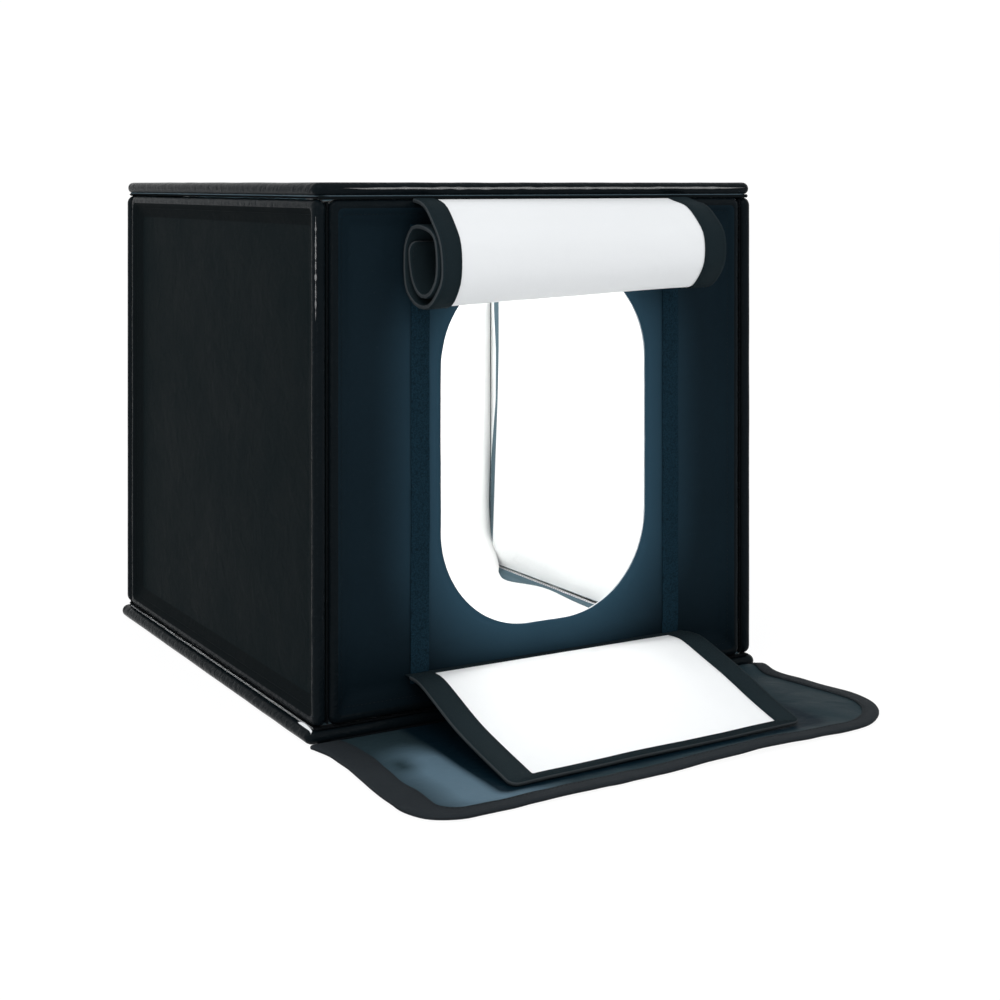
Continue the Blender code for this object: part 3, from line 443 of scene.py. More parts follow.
def nearness_group():
    """Nearness to a rounded opening: 1 at its edge, 0 from Reach away."""
    tree, given, out = new_group(
        "Nearness to opening",
        (
            ("Place", "NodeSocketVector", None), ("Centre", "NodeSocketVector", None),
            ("Core", "NodeSocketVector", None), ("Radius", "NodeSocketFloat", 0.05),
            ("Reach", "NodeSocketFloat", 0.05),
        ),
        ("Mask",),
    )
    spot = given.outputs["Place"]
    for operation, other in (
        ("SUBTRACT", given.outputs["Centre"]), ("ABSOLUTE", (0, 0, 0)),
        ("SUBTRACT", given.outputs["Core"]), ("MAXIMUM", (0, 0, 0)),
    ):
        spot = add_node(
            tree, "ShaderNodeVectorMath", {0: spot, 1: other}, operation=operation
        ).outputs[0]
    length = add_node(tree, "ShaderNodeVectorMath", {0: spot}, operation="LENGTH").outputs["Value"]
    gap = calculate(tree, "SUBTRACT", length, given.outputs["Radius"])
    share = calculate(tree, "DIVIDE", gap, given.outputs["Reach"], clamp=True)
    near = calculate(tree, "SUBTRACT", 1.0, share)
    tree.links.new(calculate(tree, "POWER", near, 1.6), out.inputs["Mask"])
    return tree


GROUP_MAKERS = {
    "weave": weave_group, "ribs": rib_group, "crinkle": crinkle_group,
    "dust": dust_group, "nap": nap_group, "nearness": nearness_group,
}
groups = {}


def use_group(tree, key, values):
    """A node of the named group, which is made the first time that a material asks for it."""
    if key not in groups:
        groups[key] = GROUP_MAKERS[key]()
    node = tree.nodes.new("ShaderNodeGroup")
    node.node_tree = groups[key]
    for key, value in values.items():
        if isinstance(value, bpy.types.NodeSocket):
            tree.links.new(value, node.inputs[key])
        else:
            node.inputs[key].default_value = value
    return node


# Materials


def new_material(name, roughness=0.5, flat=True, **sockets):
    """A material, its tree, its Principled shader and the place on the surface that patterns use."""
    material = bpy.data.materials.new(name)
    material.use_nodes = True
    tree = material.node_tree
    shader = tree.nodes["Principled BSDF"]
    shader.inputs["Roughness"].default_value = roughness
    for key, value in sockets.items():
        shader.inputs[key.replace("_", " ")].default_value = value
    if flat:
        place = add_node(tree, "ShaderNodeUVMap", uv_map="flat").outputs[0]
    else:
        place = add_node(tree, "ShaderNodeTexCoord").outputs["Object"]
    return material, tree, shader, place


def raise_surface(tree, shader, reliefs):
    """Feeds Normal from bumps, each a height socket and its depth in metres."""
    normal = None
    for height, depth in reliefs:
        bump = add_node(tree, "ShaderNodeBump", {"Height": height, "Distance": depth})
        if normal:
            tree.links.new(normal, bump.inputs["Normal"])
        normal = bump.outputs[0]
    tree.links.new(normal, shader.inputs["Normal"])


def shade(tree, shader, colour, darker, mask, spread, roughness):
    """Base Color between two tints of one colour, and Roughness round its middle, by a mask."""
    low = (*(channel * darker for channel in colour), 1.0)
    tint = mix_colours(tree, mask, low, (*colour, 1.0))
    tree.links.new(tint, shader.inputs["Base Color"])
    swing = calculate(tree, "MULTIPLY", calculate(tree, "SUBTRACT", mask, 0.5), spread)
    rough = calculate(tree, "ADD", swing, roughness, clamp=True)
    tree.links.new(rough, shader.inputs["Roughness"])


def cloth_material(name, colour, roughness, weave, crinkle, darker=0.75, spread=0.25,
                   thread="weave", dust=0.0, **sockets):
    """Cloth: weave is (pitch, depth) of its threads, crinkle is (size, depth) of its creases."""
    material, tree, shader, place = new_material(name, roughness, **sockets)
    crease = use_group(tree, "crinkle", {"Place": place, "Size": crinkle[0]})
    threads = use_group(tree, thread, {"Place": place, "Pitch": weave[0]})
    mask = calculate(
        tree, "MULTIPLY", crease.outputs["Cloud"],
        calculate(tree, "ADD", threads.outputs["Height"], 0.9), clamp=True,
    )
    shade(tree, shader, colour, darker, mask, spread, roughness)
    if dust:
        lint = use_group(tree, "dust", {"Place": place, "Size": 0.0022})
        amount = calculate(tree, "MULTIPLY", lint.outputs["Mask"], dust)
        base = shader.inputs["Base Color"].links[0].from_socket
        tree.links.new(
            mix_colours(tree, amount, base, (0.20, 0.21, 0.22, 1.0)), shader.inputs["Base Color"]
        )
    raise_surface(tree, shader, (
        (crease.outputs["Height"], crinkle[1]), (threads.outputs["Height"], weave[1])
    ))
    return material


def curtain_material(colour, rim_colour):
    """The front wall's thin cloth, with painted light round the window's edge and painted shade towards its
    bottom.
    """
    material = cloth_material(
        "Curtain cloth", colour, 0.55, (0.0005, 0.00003), (0.022, 0.0008), dust=0.02,
        Specular_IOR_Level=0.012,
    )
    core = (WINDOW_HALF_WIDTH - WINDOW_RADIUS, WINDOW_HALF_HEIGHT - WINDOW_RADIUS)
    # Painted shade: the curtain turns darker towards its bottom.
    dark = tuple(channel * 0.35 for channel in colour)
    tint_near(material, dark, (0.0, -HALF), (HALF, 0.010), 0.0, 0.085)
    # Painted light round the window's edge.
    tint_near(material, rim_colour, WINDOW_CENTRE, core, WINDOW_RADIUS, 0.060)
    return material


def tint_near(material, colour, centre, core, radius, reach, gain=1.0):
    """Turns the material's colour towards another one near a rounded spot of the flat cloth."""
    tree = material.node_tree
    shader = tree.nodes["Principled BSDF"]
    place = add_node(tree, "ShaderNodeUVMap", uv_map="flat").outputs[0]
    near = use_group(tree, "nearness", {
        "Place": place, "Centre": (*centre, 0), "Core": (*core, 0), "Radius": radius, "Reach": reach,
    })
    mask = calculate(tree, "MULTIPLY", near.outputs["Mask"], gain, clamp=True)
    base = shader.inputs["Base Color"].links[0].from_socket
    tree.links.new(mix_colours(tree, mask, base, (*colour, 1.0)), shader.inputs["Base Color"])


def closure_material(colour, high, low):
    """The closure flap's satin, with a painted highlight where it bulges, painted shade in a dent inside
    that highlight, and a painted shadow beside the lower flap.
    """
    material = cloth_material(
        "Satin closure cloth", colour, 0.38, (0.0005, 0.00003), (0.024, 0.0012), darker=0.6,
        spread=0.22, dust=0.02, Specular_IOR_Level=0.012, Specular_Tint=(0.55, 0.82, 1.0, 1.0),
    )
    # Painted highlight where the flap bulges.
    tint_near(material, high, CLOSURE_HIGHLIGHT_SPOT, (0.012, 0.030), 0.004, 0.045, 1.3)
    # Painted shade: a dent inside the painted highlight keeps the plain, darker colour.
    tint_near(material, colour, CLOSURE_DENT_SHADE_SPOT, (0.0, 0.003), 0.001, 0.018, 1.0)
    # Painted shadow of the lower flap.
    tint_near(material, low, (FLAP_SHIFT, 0.066), (FLAP_HALF_WIDTH, 0.068), 0.0, 0.016, 2.2)
    return material


def nap_material(name, colour, pitch, depth):
    material, tree, shader, place = new_material(name, 0.85, Specular_IOR_Level=0.02)
    nap = use_group(tree, "nap", {"Place": place, "Pitch": pitch})
    shade(tree, shader, colour, 0.35, nap.outputs["Height"], 0.1, 0.85)
    raise_surface(tree, shader, ((nap.outputs["Height"], depth),))
    return material


def hard_material(name, colour, roughness, grain, depth, darker=0.8, spread=0.15, stretch=1.0,
                  **sockets):
    """Moulded, drawn or rolled material: grain is the size of its texture."""
    material, tree, shader, place = new_material(name, roughness, flat=False, **sockets)
    drawn = add_node(
        tree, "ShaderNodeMapping", {"Vector": place, "Scale": (1 / stretch, 1.0, 1.0)}
    )
    crease = use_group(tree, "crinkle", {"Place": drawn.outputs[0], "Size": grain})
    shade(tree, shader, colour, darker, crease.outputs["Cloud"], spread, roughness)
    raise_surface(tree, shader, ((crease.outputs["Height"], depth),))
    return material


def glow_material(name, colour, strength):
    material, tree, shader, place = new_material(name, 0.35, flat=False)
    crease = use_group(tree, "crinkle", {"Place": place, "Size": 0.002})
    shade(tree, shader, colour, 0.9, crease.outputs["Cloud"], 0.1, 0.35)
    tree.links.new(shader.inputs["Base Color"].links[0].from_socket, shader.inputs["Emission Color"])
    shader.inputs["Emission Strength"].default_value = strength
    return material


def material_makers():
    """How each finish is made, from the colours in the settings."""
    colours = bpy.context.scene.tent_colours
    light = bpy.context.scene.tent_light
    white = tuple(colours.sheet)
    return {
        "panel": lambda: cloth_material(
            "Coated panel cloth", tuple(colours.panel), 0.50, (0.0006, 0.00003), (0.016, 0.0006),
            dust=0.02, Specular_IOR_Level=0.012,
        ),
        "curtain": lambda: curtain_material(tuple(colours.curtain), tuple(colours.curtain_rim)),
        "edging": lambda: cloth_material(
            "Glossy rod edging", tuple(colours.edging), 0.17, (0.0007, 0.00002), (0.006, 0.0009),
            spread=0.20, dust=0.02, Specular_IOR_Level=0.03,
        ),
        "fold": lambda: cloth_material(
            "Bare glossy fold", tuple(colours.edging), 0.15, (0.0007, 0.00002), (0.005, 0.0002),
            spread=0.06, Specular_IOR_Level=1.0, IOR=1.8,
        ),
        "slope": lambda: cloth_material(
            "Cloth beside the rods", tuple(colours.slope), 0.55, (0.0006, 0.00003),
            (0.010, 0.0005), dust=0.02, Specular_IOR_Level=0.008,
        ),
        "binding": lambda: cloth_material(
            "Ribbed binding tape", tuple(colours.binding), 0.55, (0.0009, 0.00012),
            (0.010, 0.0003), thread="ribs", dust=0.03, Specular_IOR_Level=0.02,
        ),
        # Painted highlight along a binding's outer fold.
        "rim": lambda: cloth_material(
            "Binding edge", tuple(colours.rim), 0.55, (0.0009, 0.00012), (0.010, 0.0003),
            thread="ribs", Specular_IOR_Level=0.02,
        ),
        "hem": lambda: cloth_material(
            "Wide hem tape", tuple(colours.hem), 0.55, (0.0009, 0.00012), (0.012, 0.0004),
            thread="ribs", dust=0.04, Specular_IOR_Level=0.02,
        ),
        "closure": lambda: closure_material(
            tuple(colours.closure), tuple(colours.closure_high), tuple(colours.closure_low)
        ),
        "backing": lambda: cloth_material(
            "Black backing cloth", tuple(colours.backing), 0.52, (0.0006, 0.00004),
            (0.014, 0.0006), dust=0.03, Specular_IOR_Level=0.02,
        ),
        "seam": lambda: cloth_material(
            "Dark seam cloth inside", tuple(colours.seam), 0.60, (0.0006, 0.00004),
            (0.014, 0.0006), Specular_IOR_Level=0.02,
        ),
        "sheet": lambda: cloth_material(
            "White flap cloth", white, 0.55, (0.0005, 0.00002), (0.030, 0.0004), darker=0.95,
            spread=0.08, Specular_IOR_Level=0.10,
        ),
        "lining": lambda: cloth_material(
            "White reflecting lining", tuple(colours.lining), 0.42, (0.0008, 0.00003),
            (0.020, 0.0006), darker=0.94, spread=0.10,
        ),
        "thread": lambda: cloth_material(
            "Black sewing thread", (0.014, 0.018, 0.020), 0.50, (0.0003, 0.00004),
            (0.004, 0.0001), thread="ribs", Specular_IOR_Level=0.03,
        ),
        "piping": lambda: cloth_material(
            "Piping cord", (0.0050, 0.0070, 0.0080), 0.60, (0.0008, 0.00006), (0.005, 0.0003),
            thread="ribs", Specular_IOR_Level=0.02,
        ),
        "loop": lambda: nap_material("Loop tape", (0.0105, 0.0310, 0.0470), 0.0011, 0.0004),
        "hook": lambda: nap_material("Hook tape", (0.0070, 0.0085, 0.0100), 0.0014, 0.0005),
        "rod": lambda: hard_material(
            "Black frame rod", (0.030, 0.031, 0.033), 0.38, 0.004, 0.00005, stretch=8
        ),
        "board": lambda: hard_material(
            "Grey ribbed board", (0.34, 0.35, 0.37), 0.58, 0.003, 0.00015, stretch=6
        ),
        "aluminium": lambda: hard_material(
            "Drawn aluminium", (0.74, 0.75, 0.77), 0.33, 0.0012, 0.00003, stretch=40, Metallic=1.0
        ),
        "steel": lambda: hard_material(
            "Plated screw steel", (0.62, 0.62, 0.63), 0.28, 0.001, 0.00002, Metallic=1.0
        ),
        "circuit": lambda: hard_material(
            "White circuit board", (0.80, 0.82, 0.80), 0.40, 0.003, 0.00003, darker=0.94
        ),
        "plastic": lambda: hard_material(
            "Black moulded plastic", (0.020, 0.021, 0.022), 0.46, 0.0008, 0.00008
        ),
        "chip": lambda: glow_material("Light chip", (0.96, 0.92, 0.74), light.chip_glow),
    }


finishes = {}


def finish(key):
    """The named finish, made the first time that a piece asks for it."""
    if key not in finishes:
        finishes[key] = material_makers()[key]()
    return finishes[key]


# Shapes


class Skin:
    """One mesh as it is drawn: points, their places on the flat cloth, faces and their finish."""

    def __init__(self, place=None):
        self.place = place or (lambda u, v, w: Vector((u, v, w)))
        self.points, self.flat, self.faces, self.kinds = [], [], [], []

    def point(self, u, v, w, flat=None):
        self.points.append(self.place(u, v, w))
        self.flat.append(flat or (u, v))
        return len(self.points) - 1

    def row(self, places, flats=None):
        flats = flats or [None] * len(places)
        return [self.point(*place, flat) for place, flat in zip(places, flats)]

    def face(self, corners, kind=0):
        self.faces.append(tuple(corners))
        self.kinds.append(kind)

    def bridge(self, first, second, kind=0, closed=True):
        count = len(first)
        for i in range(count if closed else count - 1):
            j = (i + 1) % count
            self.face((first[i], first[j], second[j], second[i]), kind)

    def object(self, name, materials, body, replaced=(), smooth=55):
        mesh = bpy.data.meshes.new(name)
        mesh.from_pydata(self.points, [], self.faces)
        layer = mesh.uv_layers.new(name="flat")
        for loop in mesh.loops:
            layer.data[loop.index].uv = self.flat[loop.vertex_index]
        for key in materials:
            mesh.materials.append(finish(key))
        mesh.polygons.foreach_set("material_index", self.kinds)
        mesh.validate()
        mesh.shade_smooth()
        mesh.set_sharp_from_angle(angle=math.radians(smooth))
        made = bpy.data.objects.new(name, mesh)
        bpy.context.scene.collection.objects.link(made)
        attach(made, body)
        if replaced:
            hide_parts(*replaced)
        return made


def thicken(obj, thickness, offset=-1.0):
    modifier = obj.modifiers.new("Cloth thickness", "SOLIDIFY")
    modifier.thickness = thickness
    modifier.offset = offset
    return obj


def smooth_step(value):
    value = min(max(value, 0.0), 1.0)
    return value * value * (3 - 2 * value)


def rounded_loop(half_u, half_v, radii, counts):
    """Points round a rectangle, from its lower left corner. Each corner has its own radius."""
    signs = ((-1, -1), (1, -1), (1, 1), (-1, 1))
    centres = [
        Vector((sign_u * (half_u - radius), sign_v * (half_v - radius)))
        for (sign_u, sign_v), radius in zip(signs, radii)
    ]
    points = []
    for side in range(4):
        after = (side + 1) % 4
        count = counts[side % 2]
        arcs = [math.pi / 4 * radii[k] for k in (side, after)]
        whole = sum(arcs) + (centres[after] - centres[side]).length
        first, last = [
            min(max(ARC_STEPS, round(count * arc / whole)), count // 2) for arc in arcs
        ]
        facing = math.radians(270 + 90 * side)
        out = Vector((math.cos(facing), math.sin(facing)))
        start = centres[side] + out * radii[side]
        stop = centres[after] + out * radii[after]
        for step in range(count):
            if step < first:
                turn = facing - math.pi / 4 * (1 - step / first)
                spoke = Vector((math.cos(turn), math.sin(turn)))
                points.append(centres[side] + spoke * radii[side])
            elif step > count - last:
                turn = facing + math.pi / 4 * (step - count + last) / last
                spoke = Vector((math.cos(turn), math.sin(turn)))
                points.append(centres[after] + spoke * radii[after])
            else:
                share = (step - first) / max(count - first - last, 1)
                points.append(start.lerp(stop, share))
    return points


def fill_loop(skin, loop, edge, counts, height, kind=0):
    """Fills a loop of points with a grid that follows its sides. edge holds the loop's vertices."""
    across, up = counts
    total = 2 * (across + up)
    grid = {}
    for i in range(across + 1):
        grid[i, 0] = i
        grid[i, up] = across + up + (across - i)
    for j in range(up + 1):
        grid[across, j] = across + j
        grid[0, j] = (2 * across + up + (up - j)) % total
    corners = [loop[k] for k in (0, across, across + up, 2 * across + up)]
    index = {key: edge[value] for key, value in grid.items()}
    for i in range(1, across):
        s = i / across
        for j in range(1, up):
            t = j / up
            sides = (
                loop[grid[i, 0]] * (1 - t) + loop[grid[i, up]] * t
                + loop[grid[0, j]] * (1 - s) + loop[grid[across, j]] * s
            )
            ends = (
                corners[0] * ((1 - s) * (1 - t)) + corners[1] * (s * (1 - t))
                + corners[2] * (s * t) + corners[3] * ((1 - s) * t)
            )
            spot = sides - ends
            index[i, j] = skin.point(spot.x, spot.y, height(spot.x, spot.y))
    for i in range(across):
        for j in range(up):
            skin.face((index[i, j], index[i + 1, j], index[i + 1, j + 1], index[i, j + 1]), kind)


def wall_place(outward, up, origin):
    """Takes a wall's u, v, w to its place in the cube: w points outward."""
    outward, up = Vector(outward), Vector(up)
    turn = Matrix((up.cross(outward), up, outward)).transposed().to_4x4()
    matrix = Matrix.Translation(origin) @ turn
    return lambda u, v, w: matrix @ Vector((u, v, w))


def walls():
    """Each wall: half sizes, panel height, place, hole, body and the cloth of its middle."""
    up = (0, 0, 1)
    window = (WINDOW_HALF_WIDTH, WINDOW_HALF_HEIGHT, WINDOW_RADIUS, WINDOW_CENTRE)
    port = (PORT_RADIUS, PORT_RADIUS, PORT_RADIUS, (0.0, 0.0))
    side = (SIDE_HALF_DEPTH, SIDE_HALF_HEIGHT, BOARDED_HEIGHT)
    shift = -WALL_STEP / 2
    return {
        "bottom_wall": (
            HALF, HALF, BOARDED_HEIGHT, wall_place((0, 0, 1), (0, 1, 0), (0, 0, 0)), None,
            "bottom", "panel",
        ),
        "back_wall": (
            HALF, SIDE_HALF_HEIGHT, BOARDED_HEIGHT, wall_place((0, 1, 0), up, (0, INNER_HALF, HALF)),
            None, "back", "panel",
        ),
        "left_wall": (
            *side, wall_place((-1, 0, 0), up, (-INNER_HALF, shift, HALF)), None, "left_wall", "panel"
        ),
        "right_wall": (
            *side, wall_place((1, 0, 0), up, (INNER_HALF, shift, HALF)), None, "right_wall", "panel"
        ),
        "top_wall": (
            HALF, HALF, BOARDED_HEIGHT, wall_place(up, (0, 1, 0), (0, 0, CUBE_SIDE - WALL_THICK)),
            port, "top", "panel",
        ),
        "front_wall": (
            SIDE_HALF_HEIGHT, SIDE_HALF_HEIGHT, BARE_HEIGHT,
            wall_place((0, -1, 0), up, (0, -INNER_HALF, HALF)), window, "front", "curtain",
        ),
    }


def cloth_waves(u, v, seed, size):
    """Soft wrinkles, 0 to 1, longer along one diagonal."""
    lean = Vector((u + 0.35 * v, v * 0.8 - 0.25 * u, seed)) / size
    broad = noise.noise(lean)
    ridge = 1 - abs(noise.noise(lean * 1.9 + Vector((3.1, 7.7, seed))))
    return min(max(0.45 + 0.5 * broad + 0.35 * (ridge ** 3 - 0.5), 0.0), 1.0)


def wall_relief(half_u, half_v, depth, seed):
    """Height of a wall's wrinkles over its flat middle. Nothing at the edge of the middle."""
    def relief(u, v):
        edge = min(half_u - PANEL_INSET - abs(u), half_v - PANEL_INSET - abs(v))
        fade = smooth_step(edge / 0.022)
        return depth * fade * cloth_waves(u, v, seed, 0.055)
    return relief


def cover_profile(height):
    """The cover's section from inside the bead, over it and down to the panel."""
    profile = []
    for degrees in BEAD_TURNS:
        turn = math.radians(degrees)
        profile.append((BEAD_RADIUS * (1 + math.cos(turn)), BEAD_RADIUS * (1 + math.sin(turn))))
    start, stop = profile[-1], (PANEL_INSET, height)
    for share, dip in ((0.18, 0.0005), (0.28, 0.0009), (0.45, 0.0004), (0.75, 0.0003)):
        profile.append((
            start[0] + (stop[0] - start[0]) * share,
            start[1] + (stop[1] - start[1]) * share - dip,
        ))
    profile.append(stop)
    profile.append((PANEL_INSET + 0.004, height))
    return profile


def flat_insets(profile):
    """How far in each row of a profile lies when the cloth is flat."""
    insets = [profile[-1][0]]
    for before, after in zip(reversed(profile[:-1]), reversed(profile)):
        insets.append(insets[-1] - math.hypot(after[0] - before[0], after[1] - before[1]))
    return list(reversed(insets))


def hole_loop(hole, counts, grow=0.0):
    half_u, half_v, radius, centre = hole
    loop = rounded_loop(half_u + grow, half_v + grow, (radius + grow,) * 4, counts)
    return [point + Vector(centre) for point in loop]


def close_middle(skin, loop, edge, hole, height, kind):
    """The middle of a wall: a full grid, or rings that run in to the hole."""
    if not hole:
        fill_loop(skin, loop, edge, WALL_COUNTS, height, kind)
        return
    inner = hole_loop(hole, WALL_COUNTS)
    for ring in range(1, HOLE_RINGS + 1):
        share = ring / HOLE_RINGS
        spots = [a.lerp(b, share) for a, b in zip(loop, inner)]
        row = skin.row([(p.x, p.y, height(p.x, p.y)) for p in spots])
        skin.bridge(edge, row, kind)
        edge = row


def build_cover(name, wall, seed, depth):
    half_u, half_v, height, place, hole, body, cloth = wall
    relief = wall_relief(half_u, half_v, depth, seed)
    skin = Skin(place)
    profile = cover_profile(height)
    rows = []
    for (inset, rise), flat in zip(profile, flat_insets(profile)):
        radius = max(CLOTH_CORNER - inset, 0.004)
        loop = rounded_loop(half_u - inset, half_v - inset, (radius,) * 4, WALL_COUNTS)
        spread = rounded_loop(half_u - flat, half_v - flat, (radius,) * 4, WALL_COUNTS)
        wobble = [
            0.00025 * noise.noise(Vector((p.x * 40, p.y * 40, seed + inset * 90))) for p in loop
        ]
        out = BASE_BULGE * smooth_step((BULGE_START - inset) / BULGE_SPAN) if name == "bottom_wall" else 0.0
        rows.append(skin.row(
            [(p.x + math.copysign(out, p.x), p.y, rise + w) for p, w in zip(loop, wobble)],
            [tuple(p) for p in spread],
        ))
    slope_start = BEAD_TURNS.index(72)
    for i, (first, second) in enumerate(zip(rows, rows[1:])):
        kind = 0 if i < slope_start else 2 if i < len(rows) - 2 else 1
        start = len(skin.kinds)
        skin.bridge(first, second, kind)
        if name == "bottom_wall" and slope_start <= i < slope_start + 4:
            for side in (1, 3):
                for k in range(WALL_COUNTS[0]):
                    skin.kinds[start + side * WALL_COUNTS[0] + k] = 3
    close_middle(skin, loop, rows[-1], hole, lambda u, v: height + relief(u, v), 1)
    slope = {"front_wall": "curtain", "bottom_wall": "seam"}.get(name, "slope")
    made = skin.object(
        f"{name}_cloth", ("edging", cloth, slope, "lining"), body, (f"{name}_cover",)
    )
    return thicken(made, COVER_THICK)


def along_path(points, pitch, closed=False):
    """Places and directions at even steps along a line of 2D points."""
    points = list(points) + ([points[0]] if closed else [])
    due = pitch / 2
    gone = 0.0
    for start, stop in zip(points, points[1:]):
        run = (stop - start).length
        while due <= gone + run and run > 0:
            yield start.lerp(stop, (due - gone) / run), (stop - start) / run
            due += pitch
        gone += run


def add_stitches(skin, path, height, closed=False, kind=0):
    """Short stitches along a path on the flat cloth, each a thread with pointed ends."""
    sizes = bpy.context.scene.tent_sizes
    half = sizes.stitch_pitch * 0.36
    thick = sizes.stitch_radius
    for spot, along in along_path(path, sizes.stitch_pitch, closed):
        side = Vector((-along.y, along.x)) * thick
        lift = height(spot.x, spot.y) if callable(height) else height
        ends = [
            skin.point(spot.x + along.x * d, spot.y + along.y * d, lift) for d in (-half, half)
        ]
        ring = [
            skin.point(spot.x + side.x * a, spot.y + side.y * a, lift + thick * b)
            for a, b in ((1, 0), (0, 1), (-1, 0), (0, -1))
        ]
        for i in range(4):
            j = (i + 1) % 4
            skin.face((ends[1], ring[i], ring[j]), kind)
            skin.face((ends[0], ring[j], ring[i]), kind)


def build_wall_stitching(name, wall):
    """A row of stitches in the crease beside the rod, all round the wall."""
    half_u, half_v, height, place, _, body, _ = wall
    profile = cover_profile(height)
    inset, rise = profile[len(BEAD_TURNS) + 1]
    radius = max(CLOTH_CORNER - inset, 0.004)
    loop = rounded_loop(half_u - inset, half_v - inset, (radius,) * 4, WALL_COUNTS)
    skin = Skin(place)
    add_stitches(skin, loop, rise + 0.0003, closed=True)
    return skin.object(f"{name}_stitching", ("thread",), body)


def trim_lining(point, name, number):
    """A side lining's row: its white begins behind the front wall. The right one hangs lower than
    its wall, and a dark strip crosses its white beside the rear seam: partly that seam's dark cloth,
    partly painted shade beside the sweep's edge."""
    x, y = point
    front = SIDE_HALF_DEPTH - SIDE_LINING_START - 0.0006 * (number - 2)
    if name == "left_wall":
        return Vector((min(x, front) if number > 1 else x, y))
    if y < 0.02 - SIDE_HALF_HEIGHT:
        y -= 0.0036 + 0.0012 * max(x / SIDE_HALF_DEPTH, 0.0)
    if number > 0:
        line = [Vector(spot) for spot in LINING_REAR_LINES[min(number, 2) - 1]]
        x = min(x, value_along(line, y) - 0.0006 * max(number - 2, 0))
    return Vector((max(x, -front) if number > 1 else x, y))


def build_lining(name, wall):
    """The white lining, with a black edge where it is sewn in."""
    half_u, half_v, height, place, hole, body, _ = wall
    bottom = name == "bottom_wall"
    inset = PANEL_INSET + CLEAR if bottom else LINING_REACH
    low = height + CLEAR if bottom else 0.0
    border = LINING_BORDERS.get(name, 0.0006)
    skin = Skin(place)
    rows = []
    for number, extra in enumerate((0.0, 0.0002, border, border + 0.0006)):
        step = inset + extra
        radius = max(CORNER_RADIUS - step, 0.004)
        loop = rounded_loop(half_u - step, half_v - step, (radius,) * 4, WALL_COUNTS)
        if name in SIDE_FRONTS:
            loop = [trim_lining(p, name, number) for p in loop]
        rows.append(skin.row([(p.x, p.y, low + LINING_THICK) for p in loop]))
    # On the right lining the middle band is the dark strip: partly seam cloth, partly painted shade.
    for kind, first, second in zip((int(name != "right_wall"), 1, 0), rows, rows[1:]):
        skin.bridge(first, second, kind)
    if name in SIDE_FRONTS:
        for start in (0, len(loop)):
            for i in range(WALL_COUNTS[0]):
                skin.kinds[start + SIDE_FRONTS[name] * WALL_COUNTS[0] + i] = 2
    close_middle(skin, loop, rows[3], hole, lambda u, v: low + LINING_THICK, 0)
    made = skin.object(
        f"{name}_lining_cloth", ("lining", "seam", "slope"), body, (f"{name}_lining",)
    )
    return thicken(made, LINING_THICK)


def build_base():
    """The black cloth under the bottom wall."""
    skin = Skin()
    radius = CORNER_RADIUS - LINING_INSET
    loop = rounded_loop(HALF - LINING_INSET, HALF - LINING_INSET, (radius,) * 4, (24, 24))
    edge = skin.row([(p.x, p.y, LINING_THICK) for p in loop])
    fill_loop(skin, loop, edge, (24, 24), lambda u, v: LINING_THICK)
    made = skin.object(
        "bottom_wall_base_cloth", ("backing",), "bottom", ("bottom_wall_base",)
    )
    return thicken(made, LINING_THICK)


def tube(skin, path, radius, sides=10, seed=0.0, kind=0):
    """A round cord along a path of 3D points, a little uneven, with closed ends."""
    rows = []
    gone = 0.0
    for i, spot in enumerate(path):
        before, after = path[max(i - 1, 0)], path[min(i + 1, len(path) - 1)]
        along = (after - before).normalized()
        side = along.orthogonal() if i == 0 else side - along * side.dot(along)
        side.normalize()
        other = along.cross(side)
        gone += (spot - path[max(i - 1, 0)]).length
        thick = radius * (1 - 0.05 * abs(noise.noise(spot * 220 + Vector((seed, 0, 0)))))
        row = []
        for k in range(sides):
            turn = math.tau * k / sides
            out = side * math.cos(turn) + other * math.sin(turn)
            row.append(skin.point(*(spot + out * thick), (gone, radius * turn)))
        rows.append(row)
    for first, second in zip(rows, rows[1:]):
        skin.bridge(first, second, kind)
    skin.face(reversed(rows[0]), kind)
    skin.face(rows[-1], kind)


def straight(start, stop, step=0.006):
    start, stop = Vector(start), Vector(stop)
    count = max(2, round((stop - start).length / step))
    return [start.lerp(stop, i / count) for i in range(count + 1)]


def ribbon(skin, path, across, up, width, thick, kind=0):
    """A flat tape with soft edges along a path of 3D points."""
    across, up = Vector(across), Vector(up)
    half, rise = width / 2, thick / 2
    section = [
        (-half, -rise * 0.4), (-half + rise, -rise), (half - rise, -rise), (half, -rise * 0.4),
        (half, rise * 0.4), (half - rise, rise), (0, rise), (-half + rise, rise), (-half, rise * 0.4),
    ]
    rows = []
    gone = 0.0
    for i, spot in enumerate(path):
        gone += (spot - path[max(i - 1, 0)]).length
        rows.append([
            skin.point(*(spot + across * a + up * b), (a, gone)) for a, b in section
        ])
    for first, second in zip(rows, rows[1:]):
        skin.bridge(first, second, kind)
    skin.face(reversed(rows[0]), kind)
    skin.face(rows[-1], kind)


def catmull(points, steps):
    """Points of a smooth curve through the given ones."""
    ends = [2 * points[0] - points[1], *points, 2 * points[-1] - points[-2]]
    curve = []
    for i in range(1, len(ends) - 2):
        before, start, stop, after = ends[i - 1:i + 3]
        for step in range(steps):
            t = step / steps
            curve.append(0.5 * (
                2 * start
                + (stop - before) * t
                + (2 * before - 5 * start + 4 * stop - after) * t ** 2
                + (3 * start - before - 3 * stop + after) * t ** 3
            ))
    return curve + [points[-1]]


def value_along(curve, s):
    """The second value of a 2D curve where its first value is s."""
    for start, stop in zip(curve, curve[1:]):
        if s <= stop[0]:
            break
    return start.lerp(stop, min((s - start[0]) / (stop[0] - start[0]), 1.0))[1]


